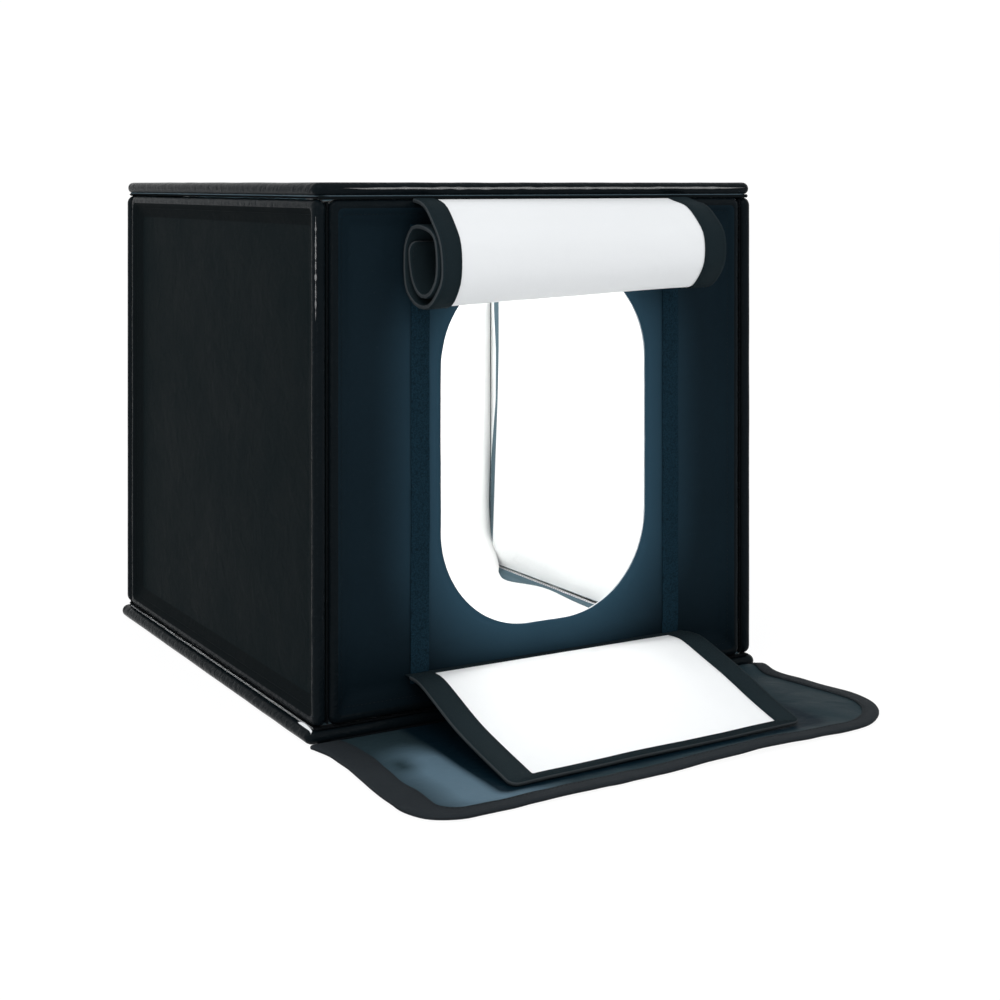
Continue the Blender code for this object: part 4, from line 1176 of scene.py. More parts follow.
class Bend:
    """Takes x, s, h on flat cloth to its place between a line at the cloth's left end and one at
    its right end, both in the YZ plane. h is towards the cloth's face."""

    def __init__(self, left, right=None, half=1.0, shift=0.0):
        self.lines = (left, right or left)
        self.half, self.shift = half, shift
        self.reach = [0.0]
        for i in range(1, len(left)):
            steps = [(line[i] - line[i - 1]).length for line in self.lines]
            self.reach.append(self.reach[-1] + sum(steps) / 2)
        self.length = self.reach[-1]
        self.outs = [self.faces(line) for line in self.lines]

    def faces(self, line):
        outs = []
        for i in range(len(line)):
            along = (line[min(i + 1, len(line) - 1)] - line[max(i - 1, 0)]).normalized()
            outs.append(Vector((along.y, -along.x)))
        return outs

    def __call__(self, x, s, h):
        last = len(self.reach) - 2
        k = 0
        while k < last and self.reach[k + 1] < s:
            k += 1
        share = (s - self.reach[k]) / (self.reach[k + 1] - self.reach[k])
        held = min(max(share, 0), 1)
        left, right = [
            line[k].lerp(line[k + 1], share) + outs[k].lerp(outs[k + 1], held).normalized() * h
            for line, outs in zip(self.lines, self.outs)
        ]
        spot = left.lerp(right, (x + self.half) / (2 * self.half))
        return Vector((x + self.shift, spot.x, spot.y))


def flap_bend(ends, size, start):
    """A window flap's place, from its left and right end shapes."""
    lines = []
    for shares in ends:
        points = [Vector((start[0] - f * size[0], start[1] - d * size[1])) for f, d in shares]
        line = catmull(points, LINE_STEPS)
        for _ in range(5):
            line[1:-1] = [(a + b * 2 + c) / 4 for a, b, c in zip(line, line[1:], line[2:])]
        lines.append(line)
    return Bend(*lines, FLAP_HALF_WIDTH, FLAP_SHIFT)


def u_path(half, length, radii, inset, steps, start=0.0, end_inset=None, shares=(1.0, 1.0)):
    """A flap's edge on the flat cloth: down its left side, round the free end and back up.
    Each side's inset is its share of the given one."""
    end_inset = inset if end_inset is None else end_inset
    whole_inset = inset
    side_steps, arc_steps, end_steps = steps
    halves = []
    for sign, radius, share in zip((-1, 1), radii, shares):
        inset = whole_inset * (share if whole_inset > 0 else 1.0)
        bend = max(radius - inset, 0.0015)
        side = half - inset - bend
        far = length - end_inset - bend
        path = [
            Vector((sign * (half - inset), start + (far - start) * i / side_steps))
            for i in range(side_steps)
        ]
        for i in range(arc_steps + 1):
            turn = math.pi / 2 * i / arc_steps
            path.append(Vector((sign * (side + bend * math.cos(turn)), far + bend * math.sin(turn))))
        halves.append(path)
    left, right = halves
    gap = right[-1] - left[-1]
    between = [left[-1] + gap * i / end_steps for i in range(1, end_steps)]
    return left + between + right[::-1]


def hem_section(width, slot, thick):
    """A tape folded over an edge, as inset and height, round its closed section."""
    outer = slot + thick
    fold = CLEAR + thick
    section = [(width, slot), (width, outer * 0.8), (width - 0.0006, outer), (width * 0.5, outer)]
    section += [(0.0012, outer), (-fold * 0.55, outer * 0.8), (-fold, outer * 0.3)]
    section += [(inset, -height) for inset, height in reversed(section)]
    section += [(0.0, -slot), (-CLEAR, 0.0), (0.0, slot)]
    return section


def build_hem(name, place, edge, widths, steps, body, replaced, lift, start=0.0,
              tapes=("binding", "rim"), shares=(1.0, 1.0)):
    """Binding tape round a flap's free edges, as wide as widths at its sides and at its end."""
    width, end_width = widths
    skin = Skin(place)
    rows = []
    middle = u_path(*edge, width / 2, steps, start, end_width / 2, shares)
    runs = [0.0]
    for before, after in zip(middle, middle[1:]):
        runs.append(runs[-1] + (after - before).length)
    for inset, height in hem_section(width, FLAP_THICK / 2 + CLEAR, TAPE_THICK):
        drop = inset * end_width / width if inset > 0 else inset
        path = u_path(*edge, inset, steps, start, drop, shares)
        rows.append(skin.row(
            [(p.x, p.y, height + lift(p.x, p.y)) for p in path],
            [(run, inset + (0.03 if height < 0 else 0.0)) for run in runs],
        ))
    for i, (first, second) in enumerate(zip(rows, rows[1:] + rows[:1])):
        # The fold's outermost faces take the second tape finish, on the window flaps a painted highlight.
        skin.bridge(first, second, 1 if i in (5, 6, 7) else 0, closed=False)
    skin.face([row[0] for row in rows])
    skin.face([row[-1] for row in reversed(rows)])
    return skin.object(name, tapes, body, replaced)


def build_flap_sheet(name, place, length, body, replaced, lift):
    """A flap's cloth: white on its face and black behind, with its edges inside the binding."""
    half = FLAP_HALF_WIDTH - SHEET_INSET
    far = length - SHEET_INSET
    rows_count = max(12, round(length / 0.0045))
    skin = Skin(place)
    sides = []
    for height in (FLAP_THICK / 2, -FLAP_THICK / 2):
        grid = []
        for j in range(rows_count + 1):
            s = far * j / rows_count
            grid.append(skin.row([
                (x, s, height + lift(x, s))
                for x in (-half + 2 * half * i / FLAP_COLUMNS for i in range(FLAP_COLUMNS + 1))
            ]))
        sides.append(grid)
    for grid, kind in zip(sides, (0, 1)):
        for first, second in zip(grid, grid[1:]):
            for i in range(FLAP_COLUMNS):
                quad = (first[i], first[i + 1], second[i + 1], second[i])
                skin.face(quad if kind else tuple(reversed(quad)), kind)
    rim = [
        [grid[0][:], [row[-1] for row in grid], grid[-1][::-1], [row[0] for row in grid][::-1]]
        for grid in sides
    ]
    for upper, lower in zip(*rim):
        skin.bridge(upper, lower, 1, closed=False)
    return skin.object(name, ("sheet", "backing"), body, replaced, smooth=70)


def build_flap_stitching(name, place, edge, insets, steps, body, lift, start=0.0,
                         shares=(1.0, 1.0)):
    """Stitches through a binding, on both faces."""
    skin = Skin(place)
    outer = FLAP_THICK / 2 + CLEAR + TAPE_THICK
    path = u_path(*edge, insets[0], steps, start, insets[1], shares)
    for side in (1, -1):
        add_stitches(skin, path, lambda u, v, s=side: s * (outer + 0.0001) + lift(u, v))
    return skin.object(name, ("thread",), body)


def sheet_lift(seed, depth):
    """Slow waves in a hanging or lying sheet. Nothing where it is sewn in."""
    def lift(x, s):
        fade = smooth_step(s / 0.03)
        wave = noise.noise(Vector((x * 14, s * 9, seed))) + 0.4 * noise.noise(
            Vector((x * 36, s * 20, seed + 5))
        )
        return depth * fade * wave
    return lift


# Operators


class TENT_OT_walls(bpy.types.Operator):
    """Beaded cloth covers over the rods of all six walls, with their stitching"""

    bl_idname = "tent.walls"
    bl_label = "Wall covers"

    def execute(self, context):
        sizes = context.scene.tent_sizes
        for seed, (name, wall) in enumerate(walls().items()):
            depth = sizes.curtain_relief if name == "front_wall" else sizes.panel_relief
            build_cover(name, wall, seed * 3.7 + 1, depth)
            build_wall_stitching(name, wall)
        build_base()
        build_glints()
        return {"FINISHED"}


def build_strip_piece(name, key, body, rows, thick, turned=True):
    """A narrow strip of cloth from rows of three points, each with its place on the flat cloth."""
    skin = Skin()
    drawn = [[skin.point(*place, flat) for place, flat in row] for row in rows]
    for first, second in zip(drawn, drawn[1:]):
        pair = (second, first) if turned else (first, second)
        skin.bridge(*pair, closed=False)
    thicken(skin.object(name, (key,), body), thick)


def ragged_half(i, count, ends, spot, mean, swing):
    """Half the width of a worn fold at one of its rows: it tapers over its ends."""
    taper = min(i / ends, (count - i) / ends, 1.0)
    return taper * (mean + swing * noise.noise(Vector(spot)))


def build_glints():
    """Flat glossy folds on two edges, and a white strip under one wall's front corner: painted light that
    stands in for light leaking through the seam.
    """
    across = (-1, 0, 1)
    rows = []
    for i in range(97):
        x = -0.1775 + 0.370 * i / 96
        sway = 0.0004 * noise.noise(Vector((x * 60, 2.0, 1.0)))
        half = 0.0009 * ragged_half(i, 96, 8, (x * 130, 0, 5), 0.9, 0.5)
        rows.append([
            ((x, -0.20012 + k * 0.19 * half, 0.3956 + sway + k * half), (x, (k + 1) * 0.001))
            for k in across
        ])
    build_strip_piece("top_wall_edge_fold", "fold", "top", rows, 0.0004, False)
    rows = []
    for i in range(41):
        z = 0.302 + 0.074 * i / 40
        half = 0.0008 * max(ragged_half(i, 40, 5, (z * 260, 7, 3), 0.5, 1.4), 0.1)
        rows.append([
            ((-0.1990 + 0.8 * half * k, -0.1991 - 0.6 * half * k, z), (z, k * 0.001))
            for k in across
        ])
    build_strip_piece("left_wall_edge_fold", "fold", "left_wall", rows, 0.0004)
    rows = []
    # Painted light: a white strip at the bottom front-left corner stands in for light leaking from inside.
    for i in range(9):
        share = i / 8
        half = 0.0035 * math.sin(math.pi * (0.15 + 0.7 * share))
        rows.append([
            (
                (-0.2012 - 0.0014 * (1 - k) / 2, -0.1750 - 0.0220 * share, 0.0090 + half * k),
                (share * 0.022, k * half),
            ) for k in across
        ])
    build_strip_piece("left_wall_lining_end", "lining", "left_wall", rows, 0.0005)


class TENT_OT_linings(bpy.types.Operator):
    """White linings inside all six walls"""

    bl_idname = "tent.linings"
    bl_label = "Wall linings"

    def execute(self, context):
        for name, wall in walls().items():
            build_lining(name, wall)
        return {"FINISHED"}


class TENT_OT_frames(bpy.types.Operator):
    """Finish of the rods and boards inside the walls"""

    bl_idname = "tent.frames"
    bl_label = "Rods and boards"

    def execute(self, context):
        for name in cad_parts:
            if name.endswith("_wall_frame"):
                set_finish(name, "rod")
            elif name.endswith("_wall_board"):
                set_finish(name, "board")
        return {"FINISHED"}


def set_finish(node, key):
    """Gives a node of the frame its finish."""
    for material_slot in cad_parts[node].material_slots:
        material_slot.material = finish(key)


class TENT_OT_seams(bpy.types.Operator):
    """Piping cords in the folding seams and hook tape in the others"""

    bl_idname = "tent.seams"
    bl_label = "Seams"

    def execute(self, context):
        bodies = {
            "bottom_back_cord": "bottom", "top_back_cord": "back", "top_front_cord": "top",
            "back_left_cord": "back", "back_right_cord": "back",
        }
        for node, body in bodies.items():
            low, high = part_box(node)
            middle = (low + high) / 2
            axis = max(range(3), key=lambda k: high[k] - low[k])
            start, stop = middle.copy(), middle.copy()
            start[axis], stop[axis] = seam_ends(middle[axis])
            radius = min(high[k] - low[k] for k in range(3)) / 2
            skin = Skin()
            tube(skin, straight(start, stop), radius, seed=len(node))
            skin.object(f"{node}_piping", ("piping",), body, (node,))
        for node, body in (
            ("top_seam_left_tape", "top"), ("top_seam_right_tape", "top"),
            ("front_seam_left_tape", "front"), ("front_seam_right_tape", "front"),
            ("backdrop_hook_tape", "back"), ("closure_flap_seam_tape", "bottom"),
        ):
            build_box_tape(node, body, node.startswith(("top_seam", "front_seam")))
        build_bottom_tape()
        skin = Skin()
        run, y, z, wide = ROOT_WEB
        ribbon(skin, straight((-run, y, z), (run, y, z)), (0, 1, 0), (0, 0, 1), wide, 0.0004)
        skin.object("closure_flap_root_web", ("backing",), "bottom")
        return {"FINISHED"}


def seam_ends(middle):
    """Where a seam ends, from corner to corner of the walls beside it."""
    reach = HALF - SEAM_END if abs(middle) < HALF / 2 else SIDE_HALF_HEIGHT - SEAM_END / 2
    return middle - reach, middle + reach


def build_box_tape(node, body, whole_seam):
    """A straight tape in the box of its node, or as long as the seam that it closes."""
    low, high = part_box(node)
    size = high - low
    order = sorted(range(3), key=lambda k: size[k])
    thin, wide, long = order
    start, stop = (low + high) / 2, (low + high) / 2
    start[long], stop[long] = low[long], high[long]
    if whole_seam:
        start[long], stop[long] = seam_ends((low[long] + high[long]) / 2)
    across, up = Vector((0, 0, 0)), Vector((0, 0, 0))
    across[wide], up[thin] = 1, 1
    skin = Skin()
    ribbon(skin, straight(start, stop), across, up, size[wide], size[thin])
    return skin.object(f"{node}_nap", ("hook",), body, (node,))


def build_bottom_tape():
    """Hook tape on the bottom wall under the front wall and both side walls."""
    low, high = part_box("bottom_seam_tape")
    z = (low.z + high.z) / 2
    x = HALF - BEAD_RADIUS
    run = HALF - SEAM_END
    skin = Skin()
    thick = high.z - low.z
    for sign in (-1, 1):
        path = straight((sign * x, -x + 0.004, z), (sign * x, run, z))
        ribbon(skin, path, (1, 0, 0), (0, 0, 1), 0.006, thick)
    front = straight((-x - 0.003, -x, z), (x + 0.003, -x, z))
    ribbon(skin, front, (0, 1, 0), (0, 0, 1), 0.006, thick)
    return skin.object(
        "bottom_seam_tape_nap", ("hook",), "bottom", ("bottom_seam_tape",)
    )


class TENT_OT_window_tapes(bpy.types.Operator):
    """Loop tapes beside the window, which follow the curtain's wrinkles"""

    bl_idname = "tent.window_tapes"
    bl_label = "Window tapes"

    def execute(self, context):
        wall = walls()["front_wall"]
        half_u, half_v, height, place = wall[:4]
        seed = list(walls()).index("front_wall") * 3.7 + 1
        relief = wall_relief(half_u, half_v, context.scene.tent_sizes.curtain_relief, seed)
        for side in ("left", "right"):
            node = f"window_{side}_loop_tape"
            low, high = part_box(node)
            middle = (low.x + high.x) / 2
            lift = height + CLEAR + 0.0006
            path = [
                place(middle, z - HALF, lift + relief(middle, z - HALF))
                for z in (low.z + (high.z - low.z) * i / 60 for i in range(61))
            ]
            skin = Skin()
            ribbon(skin, path, (1, 0, 0), (0, -1, 0), high.x - low.x, high.y - low.y)
            skin.object(f"{node}_nap", ("loop",), "front", (node,))
        return {"FINISHED"}


class TENT_OT_upper_flap(bpy.types.Operator):
    """The white upper flap, curled up in front of the window's top"""

    bl_idname = "tent.upper_flap"
    bl_label = "Upper flap"

    def execute(self, context):
        bend = flap_bend((ROLL_LEFT_SHARES, ROLL_RIGHT_SHARES), ROLL_SIZE, ROLL_START)
        length = bend.length
        slip = [Vector(spot) for spot in ROLL_SLIP]

        def place(x, s, h):
            """The bend, with the roll's left end telescoped."""
            near = smooth_step((x + FLAP_HALF_WIDTH - 0.024) / -0.022)
            spot = bend(x, s, h)
            spot.x += value_along(slip, min(max(s / length, 0.0), 1.0)) * near
            return spot

        lift = sheet_lift(2.5, context.scene.tent_sizes.sheet_relief * 0.6)
        dress_flap("upper_flap", place, length, lift)
        return {"FINISHED"}


class TENT_OT_lower_flap(bpy.types.Operator):
    """The white lower flap, laid down on the closure flap"""

    bl_idname = "tent.lower_flap"
    bl_label = "Lower flap"

    def execute(self, context):
        place = flap_bend((RAMP_LEFT_SHARES, RAMP_RIGHT_SHARES), RAMP_SIZE, RAMP_START)
        length = place.length
        lift = sheet_lift(8.5, context.scene.tent_sizes.sheet_relief)
        dress_flap("lower_flap", place, length, lift)
        low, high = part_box("lower_flap_root_tape")
        skin = Skin()
        middle = (low + high) / 2
        path = straight((low.x, middle.y, middle.z), (high.x, middle.y, middle.z))
        ribbon(skin, path, (0, 1, 0), (0, 0, 1), high.y - low.y, high.z - low.z)
        skin.object(
            "lower_flap_root_binding", ("binding",), "front", ("lower_flap_root_tape",)
        )
        return {"FINISHED"}


def dress_flap(name, place, length, lift):
    """A flap's cloth, its binding and the stitches through it."""
    steps = (max(12, round(length / 0.005)), 5, 40)
    edge = (FLAP_HALF_WIDTH, length, (FLAP_CORNER, FLAP_CORNER))
    cloth = build_flap_sheet(f"{name}_cloth", place, length, name, (f"{name}_sheet",), lift)
    hem = build_hem(
        f"{name}_binding", place, edge, (TAPE_WIDTH, END_TAPE_WIDTH), steps, name,
        (f"{name}_edge_tape",), lift,
    )
    rows = [
        build_flap_stitching(f"{name}_{which}_stitching", place, edge, insets, steps, name, lift)
        for which, insets in (
            ("inner", (TAPE_WIDTH - 0.0018, END_TAPE_WIDTH - 0.0010)), ("outer", (0.0022, 0.0012))
        )
    ]


def closure_place(x, s, h):
    """A point of the closure flap, whose sides swing out and whose right end is shorter."""
    side = 0 if x < 0 else 1
    start, stop = FLARE_SHARES[side]
    out = smooth_step((s / CLOSURE_REACH - start) / (stop - start))
    spread = CLOSURE_FLARES[side] * out * min(abs(x) / HALF, 1.0)
    root = 1 - smooth_step(s / 0.030)
    spread += math.copysign(CLOSURE_ROOT_SPREAD, x) * root * smooth_step((abs(x) - 0.150) / 0.050)
    s *= 1 - CLOSURE_SKEW * (x + HALF) / CUBE_SIDE
    return Vector((x + spread, CLOSURE_START_Y - s, CLOSURE_MID_Z + h))


def closure_lift(depth):
    """The closure flap's wrinkles: flat under the lower flap, lifted towards its free corners."""
    dents = (
        (-0.155, 0.060, 0.030, 0.045, 0.55), (-0.115, 0.120, 0.050, 0.018, 0.50),
        (-0.172, 0.125, 0.018, 0.020, 0.40), (0.165, 0.050, 0.022, 0.050, 0.60),
        (0.150, 0.115, 0.030, 0.016, 0.45), (0.182, 0.012, 0.020, 0.012, 1.25),
        (0.070, 0.158, 0.050, 0.020, 0.60),
    )

    def lift(x, s):
        clear_x = smooth_step((abs(x - FLAP_SHIFT) - FLAP_HALF_WIDTH - 0.003) / 0.020)
        clear_s = smooth_step((s - 0.138) / 0.010)
        free = max(clear_x, clear_s)
        edge = smooth_step(s / 0.008)
        total = 0.5 + 0.5 * noise.noise(Vector((x * 22, s * 26, 4.2)))
        total += 0.35 * noise.noise(Vector((x * 55, s * 48, 9.1)))
        total = max(total, 0.0) * 0.45
        for at_x, at_s, wide, deep, high in dents:
            total += high * math.exp(-((x - at_x) / wide) ** 2 - ((s - at_s) / deep) ** 2)
        return depth * free * edge * total
    return lift


class TENT_OT_closure_flap(bpy.types.Operator):
    """The satin closure flap on the table, in its wide hem"""

    bl_idname = "tent.closure_flap"
    bl_label = "Closure flap"

    def execute(self, context):
        lift = closure_lift(context.scene.tent_sizes.closure_relief)
        half, far = HALF - SHEET_INSET, CLOSURE_REACH - SHEET_INSET
        radii = [radius - SHEET_INSET for radius in CLOSURE_CORNERS]
        counts = (80, 36)
        loop = [
            Vector((p.x, far / 2 - p.y))
            for p in rounded_loop(half, far / 2, (*radii, 0.001, 0.001), counts)
        ]
        skin = Skin(closure_place)
        rise = FLAP_THICK / 2
        edge = skin.row([(p.x, p.y, rise + lift(p.x, p.y)) for p in loop])
        fill_loop(skin, loop, edge, counts, lambda x, s: rise + lift(x, s))
        cloth = skin.object(
            "closure_flap_cloth", ("closure",), "closure_flap", ("closure_flap_sheet",),
        )
        thicken(cloth, FLAP_THICK)
        steps = (26, 14, 60)
        start = CLOSURE_HEM_START
        edge = (HALF, CLOSURE_REACH, CLOSURE_CORNERS)
        hem = build_hem(
            "closure_flap_binding", closure_place, edge, (CLOSURE_HEM, CLOSURE_END_HEM),
            steps, "closure_flap", ("closure_flap_hem",), lift, start, ("hem", "hem"),
            CLOSURE_SIDE_SHARES,
        )
        row = build_flap_stitching(
            "closure_flap_stitching", closure_place, edge,
            (CLOSURE_HEM - 0.002, CLOSURE_END_HEM - 0.002), steps, "closure_flap", lift, start,
            CLOSURE_SIDE_SHARES,
        )
        return {"FINISHED"}


class TENT_OT_sweep(bpy.types.Operator):
    """The white sweep over the back wall and the bottom wall"""

    bl_idname = "tent.sweep"
    bl_label = "Sweep"

    def execute(self, context):
        centre = (SWEEP_BACK_Y - SWEEP_RADIUS, SWEEP_FLOOR_Z + SWEEP_RADIUS)
        line = [Vector((SWEEP_BACK_Y, SWEEP_TOP_Z - 0.02 * i)) for i in range(17)]
        line = [p for p in line if p.y > centre[1] + 0.004]
        for step in range(17):
            turn = -math.pi / 2 * step / 16
            line.append(Vector((
                centre[0] + SWEEP_RADIUS * math.cos(turn), centre[1] + SWEEP_RADIUS * math.sin(turn)
            )))
        count = 14
        for step in range(1, count + 1):
            y = centre[0] + (SWEEP_FRONT_Y - centre[0]) * step / count
            line.append(Vector((y, SWEEP_FLOOR_Z)))
        place = Bend(line)
        edge = catmull([Vector(point) for point in SWEEP_RIGHT_EDGE], 8)
        skin = Skin(place)
        columns, rows = 40, 120
        grid = []
        for j in range(rows + 1):
            s = place.length * j / rows
            right = value_along(edge, s)
            grid.append(skin.row([
                (-SWEEP_LEFT_EDGE + (SWEEP_LEFT_EDGE + right) * i / columns, s, SWEEP_THICK / 2)
                for i in range(columns + 1)
            ]))
        for first, second in zip(grid, grid[1:]):
            for i in range(columns):
                skin.face((first[i], second[i], second[i + 1], first[i + 1]))
        sweep = skin.object(
            "sweep_cloth", ("sheet",), "back", ("backdrop_sheet",)
        )
        thicken(sweep, SWEEP_THICK)
        return {"FINISHED"}


class TENT_OT_port(bpy.types.Operator):
    """The round lid over the top port and the ring of hook tape under it"""

    bl_idname = "tent.port"
    bl_label = "Top port"

    def execute(self, context):
        low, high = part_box("top_port_hook_ring")
        middle = PORT_RADIUS + CLEAR + RING_HALF_WIDTH
        ring_z = (low.z + high.z) / 2
        skin = Skin()
        wide, top = RING_HALF_WIDTH, RING_HALF_WIDTH - 0.0008
        section = ((-wide, -0.5), (wide, -0.5), (wide, 0.1), (top, 0.5), (-top, 0.5), (-wide, 0.1))
        thick = high.z - low.z
        rows = []
        for k in range(72):
            turn = math.tau * k / 72
            rows.append([
                skin.point(
                    (middle + a) * math.cos(turn), (middle + a) * math.sin(turn), ring_z + b * thick,
                    (a, middle * turn),
                ) for a, b in section
            ])
        for first, second in zip(rows, rows[1:] + rows[:1]):
            skin.bridge(first, second)
        skin.object("top_port_ring_nap", ("hook",), "top", ("top_port_hook_ring",))
        build_lid()
        return {"FINISHED"}


def build_lid():
    """The cloth lid, a little domed between its stitched edge and its middle."""
    counts = (24, 24)

    def height(x, y):
        reach = math.hypot(x, y) / LID_RADIUS
        return LID_MID_Z + 0.0004 + 0.0009 * (1 - reach ** 2) + 0.0003 * noise.noise(
            Vector((x * 60, y * 60, 3))
        )

    skin = Skin()
    rows = []
    for inset, rise in ((0.0, -0.0002), (0.0008, 0.0004), (0.009, 0.0003)):
        radius = LID_RADIUS - inset
        loop = rounded_loop(radius, radius, (radius,) * 4, counts)
        rows.append(skin.row([(p.x, p.y, LID_MID_Z + rise) for p in loop]))
    skin.bridge(rows[0], rows[1], 1)
    skin.bridge(rows[1], rows[2], 1)
    fill_loop(skin, loop, rows[2], counts, height)
    lid = skin.object(
        "top_port_lid_cloth", ("panel", "binding"), "port_lid", ("top_port_lid",)
    )
    thicken(lid, LID_THICK)
    stitches = Skin()
    radius = LID_RADIUS - 0.0075
    loop = rounded_loop(radius, radius, (radius,) * 4, counts)
    add_stitches(stitches, loop, LID_MID_Z + 0.0005, closed=True)
    stitches.object("top_port_lid_stitching", ("thread",), "port_lid")


def add_block(skin, low, high, chamfer, kind=0):
    """A block with a chamfered lower edge, for small parts under a light strip."""
    rows = []
    for z, inset in ((high[2], 0.0), (low[2] + chamfer, 0.0), (low[2], chamfer)):
        rows.append([
            skin.point(x, y, z) for x, y in (
                (low[0] + inset, low[1] + inset), (high[0] - inset, low[1] + inset),
                (high[0] - inset, high[1] - inset), (low[0] + inset, high[1] - inset),
            )
        ])
    for first, second in zip(rows, rows[1:]):
        skin.bridge(second, first, kind)
    skin.face(rows[0], kind)
    skin.face(reversed(rows[-1]), kind)


class TENT_OT_light_bars(bpy.types.Operator):
    """The two light bars: drawn channels, light strips, caps, brackets and screws"""

    bl_idname = "tent.light_bars"
    bl_label = "Light bars"

    def execute(self, context):
        for bar in ("front_bar", "rear_bar"):
            body = "front_light_bar" if bar == "front_bar" else "rear_light_bar"
            set_finish(f"{bar}_channel", "aluminium")
            for part in ("left_cap", "right_cap", "left_bracket", "right_bracket"):
                set_finish(f"{bar}_{part}", "plastic")
            build_strip(bar, body)
            for side in ("left", "right"):
                build_screw(bar, side)
        return {"FINISHED"}


def build_strip(bar, body):
    """A light strip: circuit board, chips with a glowing face, and a small resistor between them."""
    low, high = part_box(f"{bar}_strip")
    middle = (low.y + high.y) / 2
    board_low = low.z + CHIP_SIZE[2]
    skin = Skin()
    add_block(skin, (low.x, low.y, board_low), (high.x, high.y, high.z), 0.0002)
    pitch = (high.x - low.x) / CHIP_COUNT
    for i in range(CHIP_COUNT):
        x = low.x + pitch * (i + 0.5)
        long, wide, thick = CHIP_SIZE
        add_block(
            skin, (x - long / 2, middle - wide / 2, low.z), (x + long / 2, middle + wide / 2, board_low),
            0.0003, 1,
        )
        for sign in (-1, 1):
            pad = x + sign * (long / 2 + 0.0009)
            add_block(
                skin, (pad - 0.0006, middle - 0.0015, board_low - 0.00012),
                (pad + 0.0006, middle + 0.0015, board_low), 0.00005, 2,
            )
        if i % 3 == 1:
            spot = x + pitch / 2
            add_block(
                skin, (spot - 0.0010, middle + 0.0030, board_low - 0.0006),
                (spot + 0.0010, middle + 0.0042, board_low), 0.0001, 3,
            )
    skin.object(
        f"{bar}_light_strip", ("circuit", "chip", "steel", "plastic"), body, (f"{bar}_strip",),
        smooth=20,
    )


def build_screw(bar, side):
    """A pan head screw with a cross in it, up through a bracket's foot."""
    low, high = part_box(f"{bar}_{side}_bracket")
    sign = -1 if side == "left" else 1
    outer = low.x if side == "left" else high.x
    x = outer - sign * 0.0055
    y = (low.y + high.y) / 2
    z = high.z - 0.0015
    skin = Skin()
    rings = ((0.0027, 0.0), (0.0027, -0.0006), (0.0022, -0.0012), (0.0012, -0.0015))
    rows = [[
        skin.point(x + r * math.cos(math.tau * k / 16), y + r * math.sin(math.tau * k / 16), z + h)
        for k in range(16)
    ] for r, h in rings]
    for first, second in zip(rows, rows[1:]):
        skin.bridge(second, first)
    skin.face(rows[0])
    star = [
        skin.point(
            x + (0.0011 if k % 2 else 0.0005) * math.cos(math.tau * k / 8),
            y + (0.0011 if k % 2 else 0.0005) * math.sin(math.tau * k / 8), z - 0.0009,
        ) for k in range(8)
    ]
    last = rows[-1]
    for k in range(8):
        a, b, c = last[(2 * k) % 16], last[(2 * k + 1) % 16], last[(2 * k + 2) % 16]
        j = (k + 1) % 8
        skin.face((star[k], star[j], c, b, a))
    skin.face(reversed(star))
    skin.object(f"{bar}_{side}_screw", ("steel",), "top", smooth=30)


class TENT_OT_stage(bpy.types.Operator):
    """Floor, world, lamps and camera"""

    bl_idname = "tent.stage"
    bl_label = "Stage"

    def execute(self, context):
        light = context.scene.tent_light
        scene = context.scene
        scene.view_settings.view_transform = "Standard"
        build_floor()
        build_world(light.world_level)
        add_lamp("key_lamp", (-0.9, -1.1, 1.9), (0, -0.05, 0.2), (1.6, 1.0), light.key_power)
        add_lamp("side_lamp", (-2.0, 0.4, 1.1), (0, 0, 0.2), (1.2, 1.2), light.key_power * 0.5)
        add_lamp("edge_lamp", (0.9, -1.5, 0.90), (0, -0.2, 0.4), (0.9, 0.10), light.edge_power)
        add_lamp("glint_lamp", (-1.7, -1.55, 0.27), (-0.2, -0.2, 0.33), (0.3, 0.2), light.edge_power)
        for name, y in (("front_inside_lamp", -0.10), ("rear_inside_lamp", 0.09)):
            lamp = add_lamp(name, (0, y, 0.364), (0, y, 0.0), (0.32, 0.05), light.inside_power)
            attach(lamp, "top")
        build_camera(scene)
        return {"FINISHED"}


def light_path_white(tree):
    """1 for the rays that show the background: camera, glossy and transmission rays."""
    path = add_node(tree, "ShaderNodeLightPath")
    first = calculate(
        tree, "MAXIMUM", path.outputs["Is Camera Ray"], path.outputs["Is Transmission Ray"]
    )
    return calculate(tree, "MAXIMUM", first, path.outputs["Is Glossy Ray"])


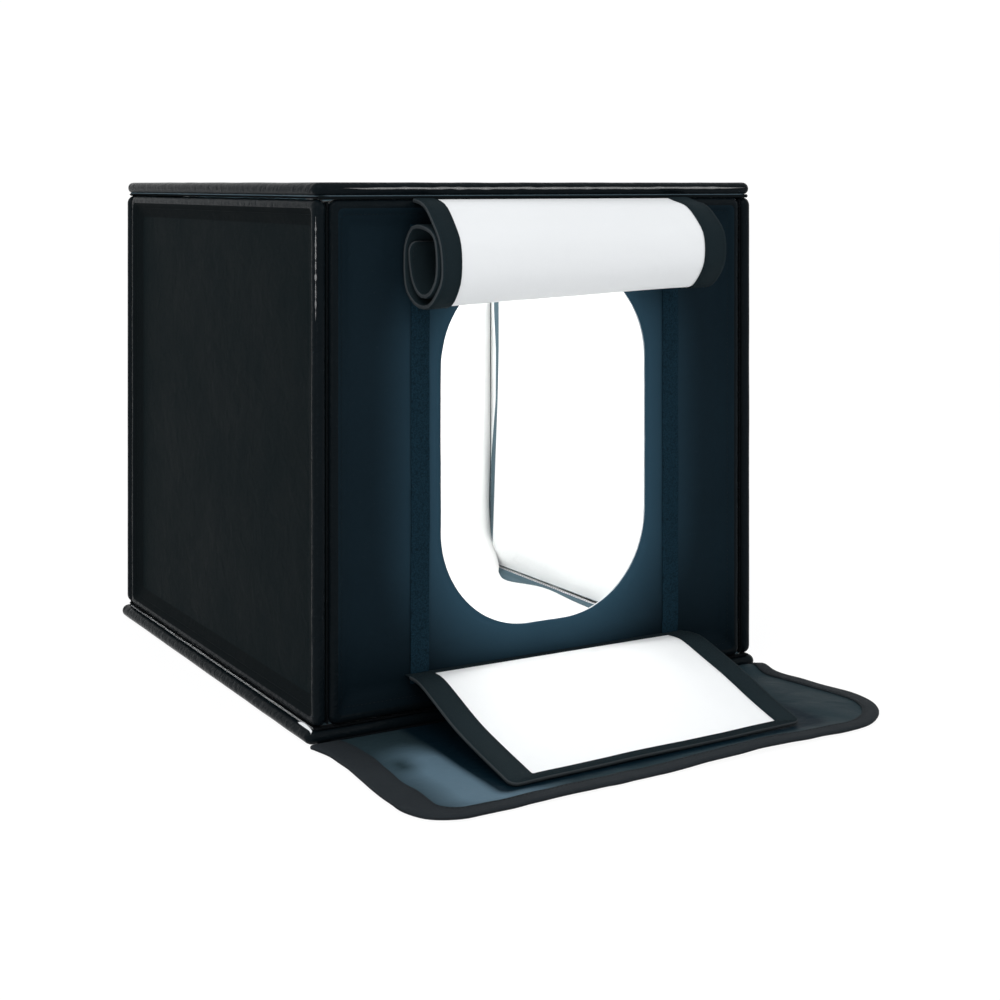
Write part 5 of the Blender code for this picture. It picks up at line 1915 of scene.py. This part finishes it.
def build_floor():
    mesh = bpy.data.meshes.new("floor")
    reach, low = 12.0, -0.0005
    corners = [(-reach, -reach, low), (reach, -reach, low), (reach, reach, low), (-reach, reach, low)]
    mesh.from_pydata(corners, [], [(0, 1, 2, 3)])
    floor = bpy.data.objects.new("floor", mesh)
    bpy.context.scene.collection.objects.link(floor)
    material = bpy.data.materials.new("Pale floor")
    material.use_nodes = True
    tree = material.node_tree
    shader = tree.nodes["Principled BSDF"]
    shader.inputs["Base Color"].default_value = (0.90, 0.90, 0.90, 1)
    shader.inputs["Roughness"].default_value = 0.9
    glow = add_node(tree, "ShaderNodeEmission", {"Color": (1, 1, 1, 1), "Strength": 1.06})
    amount = calculate(tree, "MULTIPLY", light_path_white(tree), 0.88)
    mix = add_node(
        tree, "ShaderNodeMixShader", {0: amount, 1: shader.outputs[0], 2: glow.outputs[0]}
    )
    tree.links.new(mix.outputs[0], tree.nodes["Material Output"].inputs["Surface"])
    mesh.materials.append(material)
    floor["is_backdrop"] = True


def build_world(level):
    world = bpy.data.worlds.new("Studio")
    bpy.context.scene.world = world
    world.use_nodes = True
    tree = world.node_tree
    plain = tree.nodes["Background"]
    plain.inputs["Color"].default_value = (0.92, 0.95, 1.0, 1)
    plain.inputs["Strength"].default_value = level
    white = add_node(tree, "ShaderNodeBackground", {"Color": (1, 1, 1, 1), "Strength": 1.03})
    mix = add_node(tree, "ShaderNodeMixShader", {
        0: light_path_white(tree), 1: plain.outputs[0], 2: white.outputs[0],
    })
    tree.links.new(mix.outputs[0], tree.nodes["World Output"].inputs["Surface"])


def add_lamp(name, place, target, size, power):
    data = bpy.data.lights.new(name, "AREA")
    data.shape = "RECTANGLE"
    data.size, data.size_y = size
    data.energy = power
    lamp = bpy.data.objects.new(name, data)
    bpy.context.scene.collection.objects.link(lamp)
    lamp.location = place
    lamp.rotation_euler = (Vector(target) - Vector(place)).to_track_quat("-Z", "Y").to_euler()
    return lamp


def build_camera(scene):
    data = bpy.data.cameras.new("camera")
    data.lens = CAMERA_LENS
    data.shift_x, data.shift_y = CAMERA_SHIFT
    camera = bpy.data.objects.new("camera", data)
    scene.collection.objects.link(camera)
    camera.location = CAMERA_PLACE
    camera.rotation_euler = (math.pi / 2, 0, -CAMERA_YAW)
    scene.camera = camera


class TENT_PT_pieces(bpy.types.Panel):
    """Lists the tent's pieces and settings"""

    bl_label = "Light tent"
    bl_idname = "TENT_PT_pieces"
    bl_space_type = "VIEW_3D"
    bl_region_type = "UI"
    bl_category = "Light tent"

    def draw(self, context):
        layout = self.layout
        for operator in OPERATORS:
            layout.operator(operator.bl_idname)
        for settings in (
            context.scene.tent_sizes, context.scene.tent_colours, context.scene.tent_light
        ):
            for key in settings.bl_rna.properties.keys():
                if key not in ("rna_type", "name"):
                    layout.prop(settings, key)


OPERATORS = (
    TENT_OT_frames, TENT_OT_walls, TENT_OT_linings, TENT_OT_seams, TENT_OT_window_tapes,
    TENT_OT_upper_flap, TENT_OT_lower_flap, TENT_OT_closure_flap, TENT_OT_sweep, TENT_OT_port,
    TENT_OT_light_bars, TENT_OT_stage,
)
SETTINGS = (
    ("tent_sizes", TentSizes), ("tent_colours", TentColours), ("tent_light", TentLight)
)


def register():
    for name, kind in SETTINGS:
        bpy.utils.register_class(kind)
        setattr(bpy.types.Scene, name, PointerProperty(type=kind))
    for kind in (*OPERATORS, TENT_PT_pieces):
        bpy.utils.register_class(kind)


def unregister():
    for kind in reversed((*OPERATORS, TENT_PT_pieces)):
        bpy.utils.unregister_class(kind)
    for name, kind in reversed(SETTINGS):
        delattr(bpy.types.Scene, name)
        bpy.utils.unregister_class(kind)


def main():
    register()
    for operator in OPERATORS:
        group, name = operator.bl_idname.split(".")
        getattr(getattr(bpy.ops, group), name)()
    boxes = {"cad": CAD_BOX, "visual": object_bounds()}
    {key: [list(corner) for corner in box] for key, box in boxes.items()}


if __name__ == "__main__":
    main()
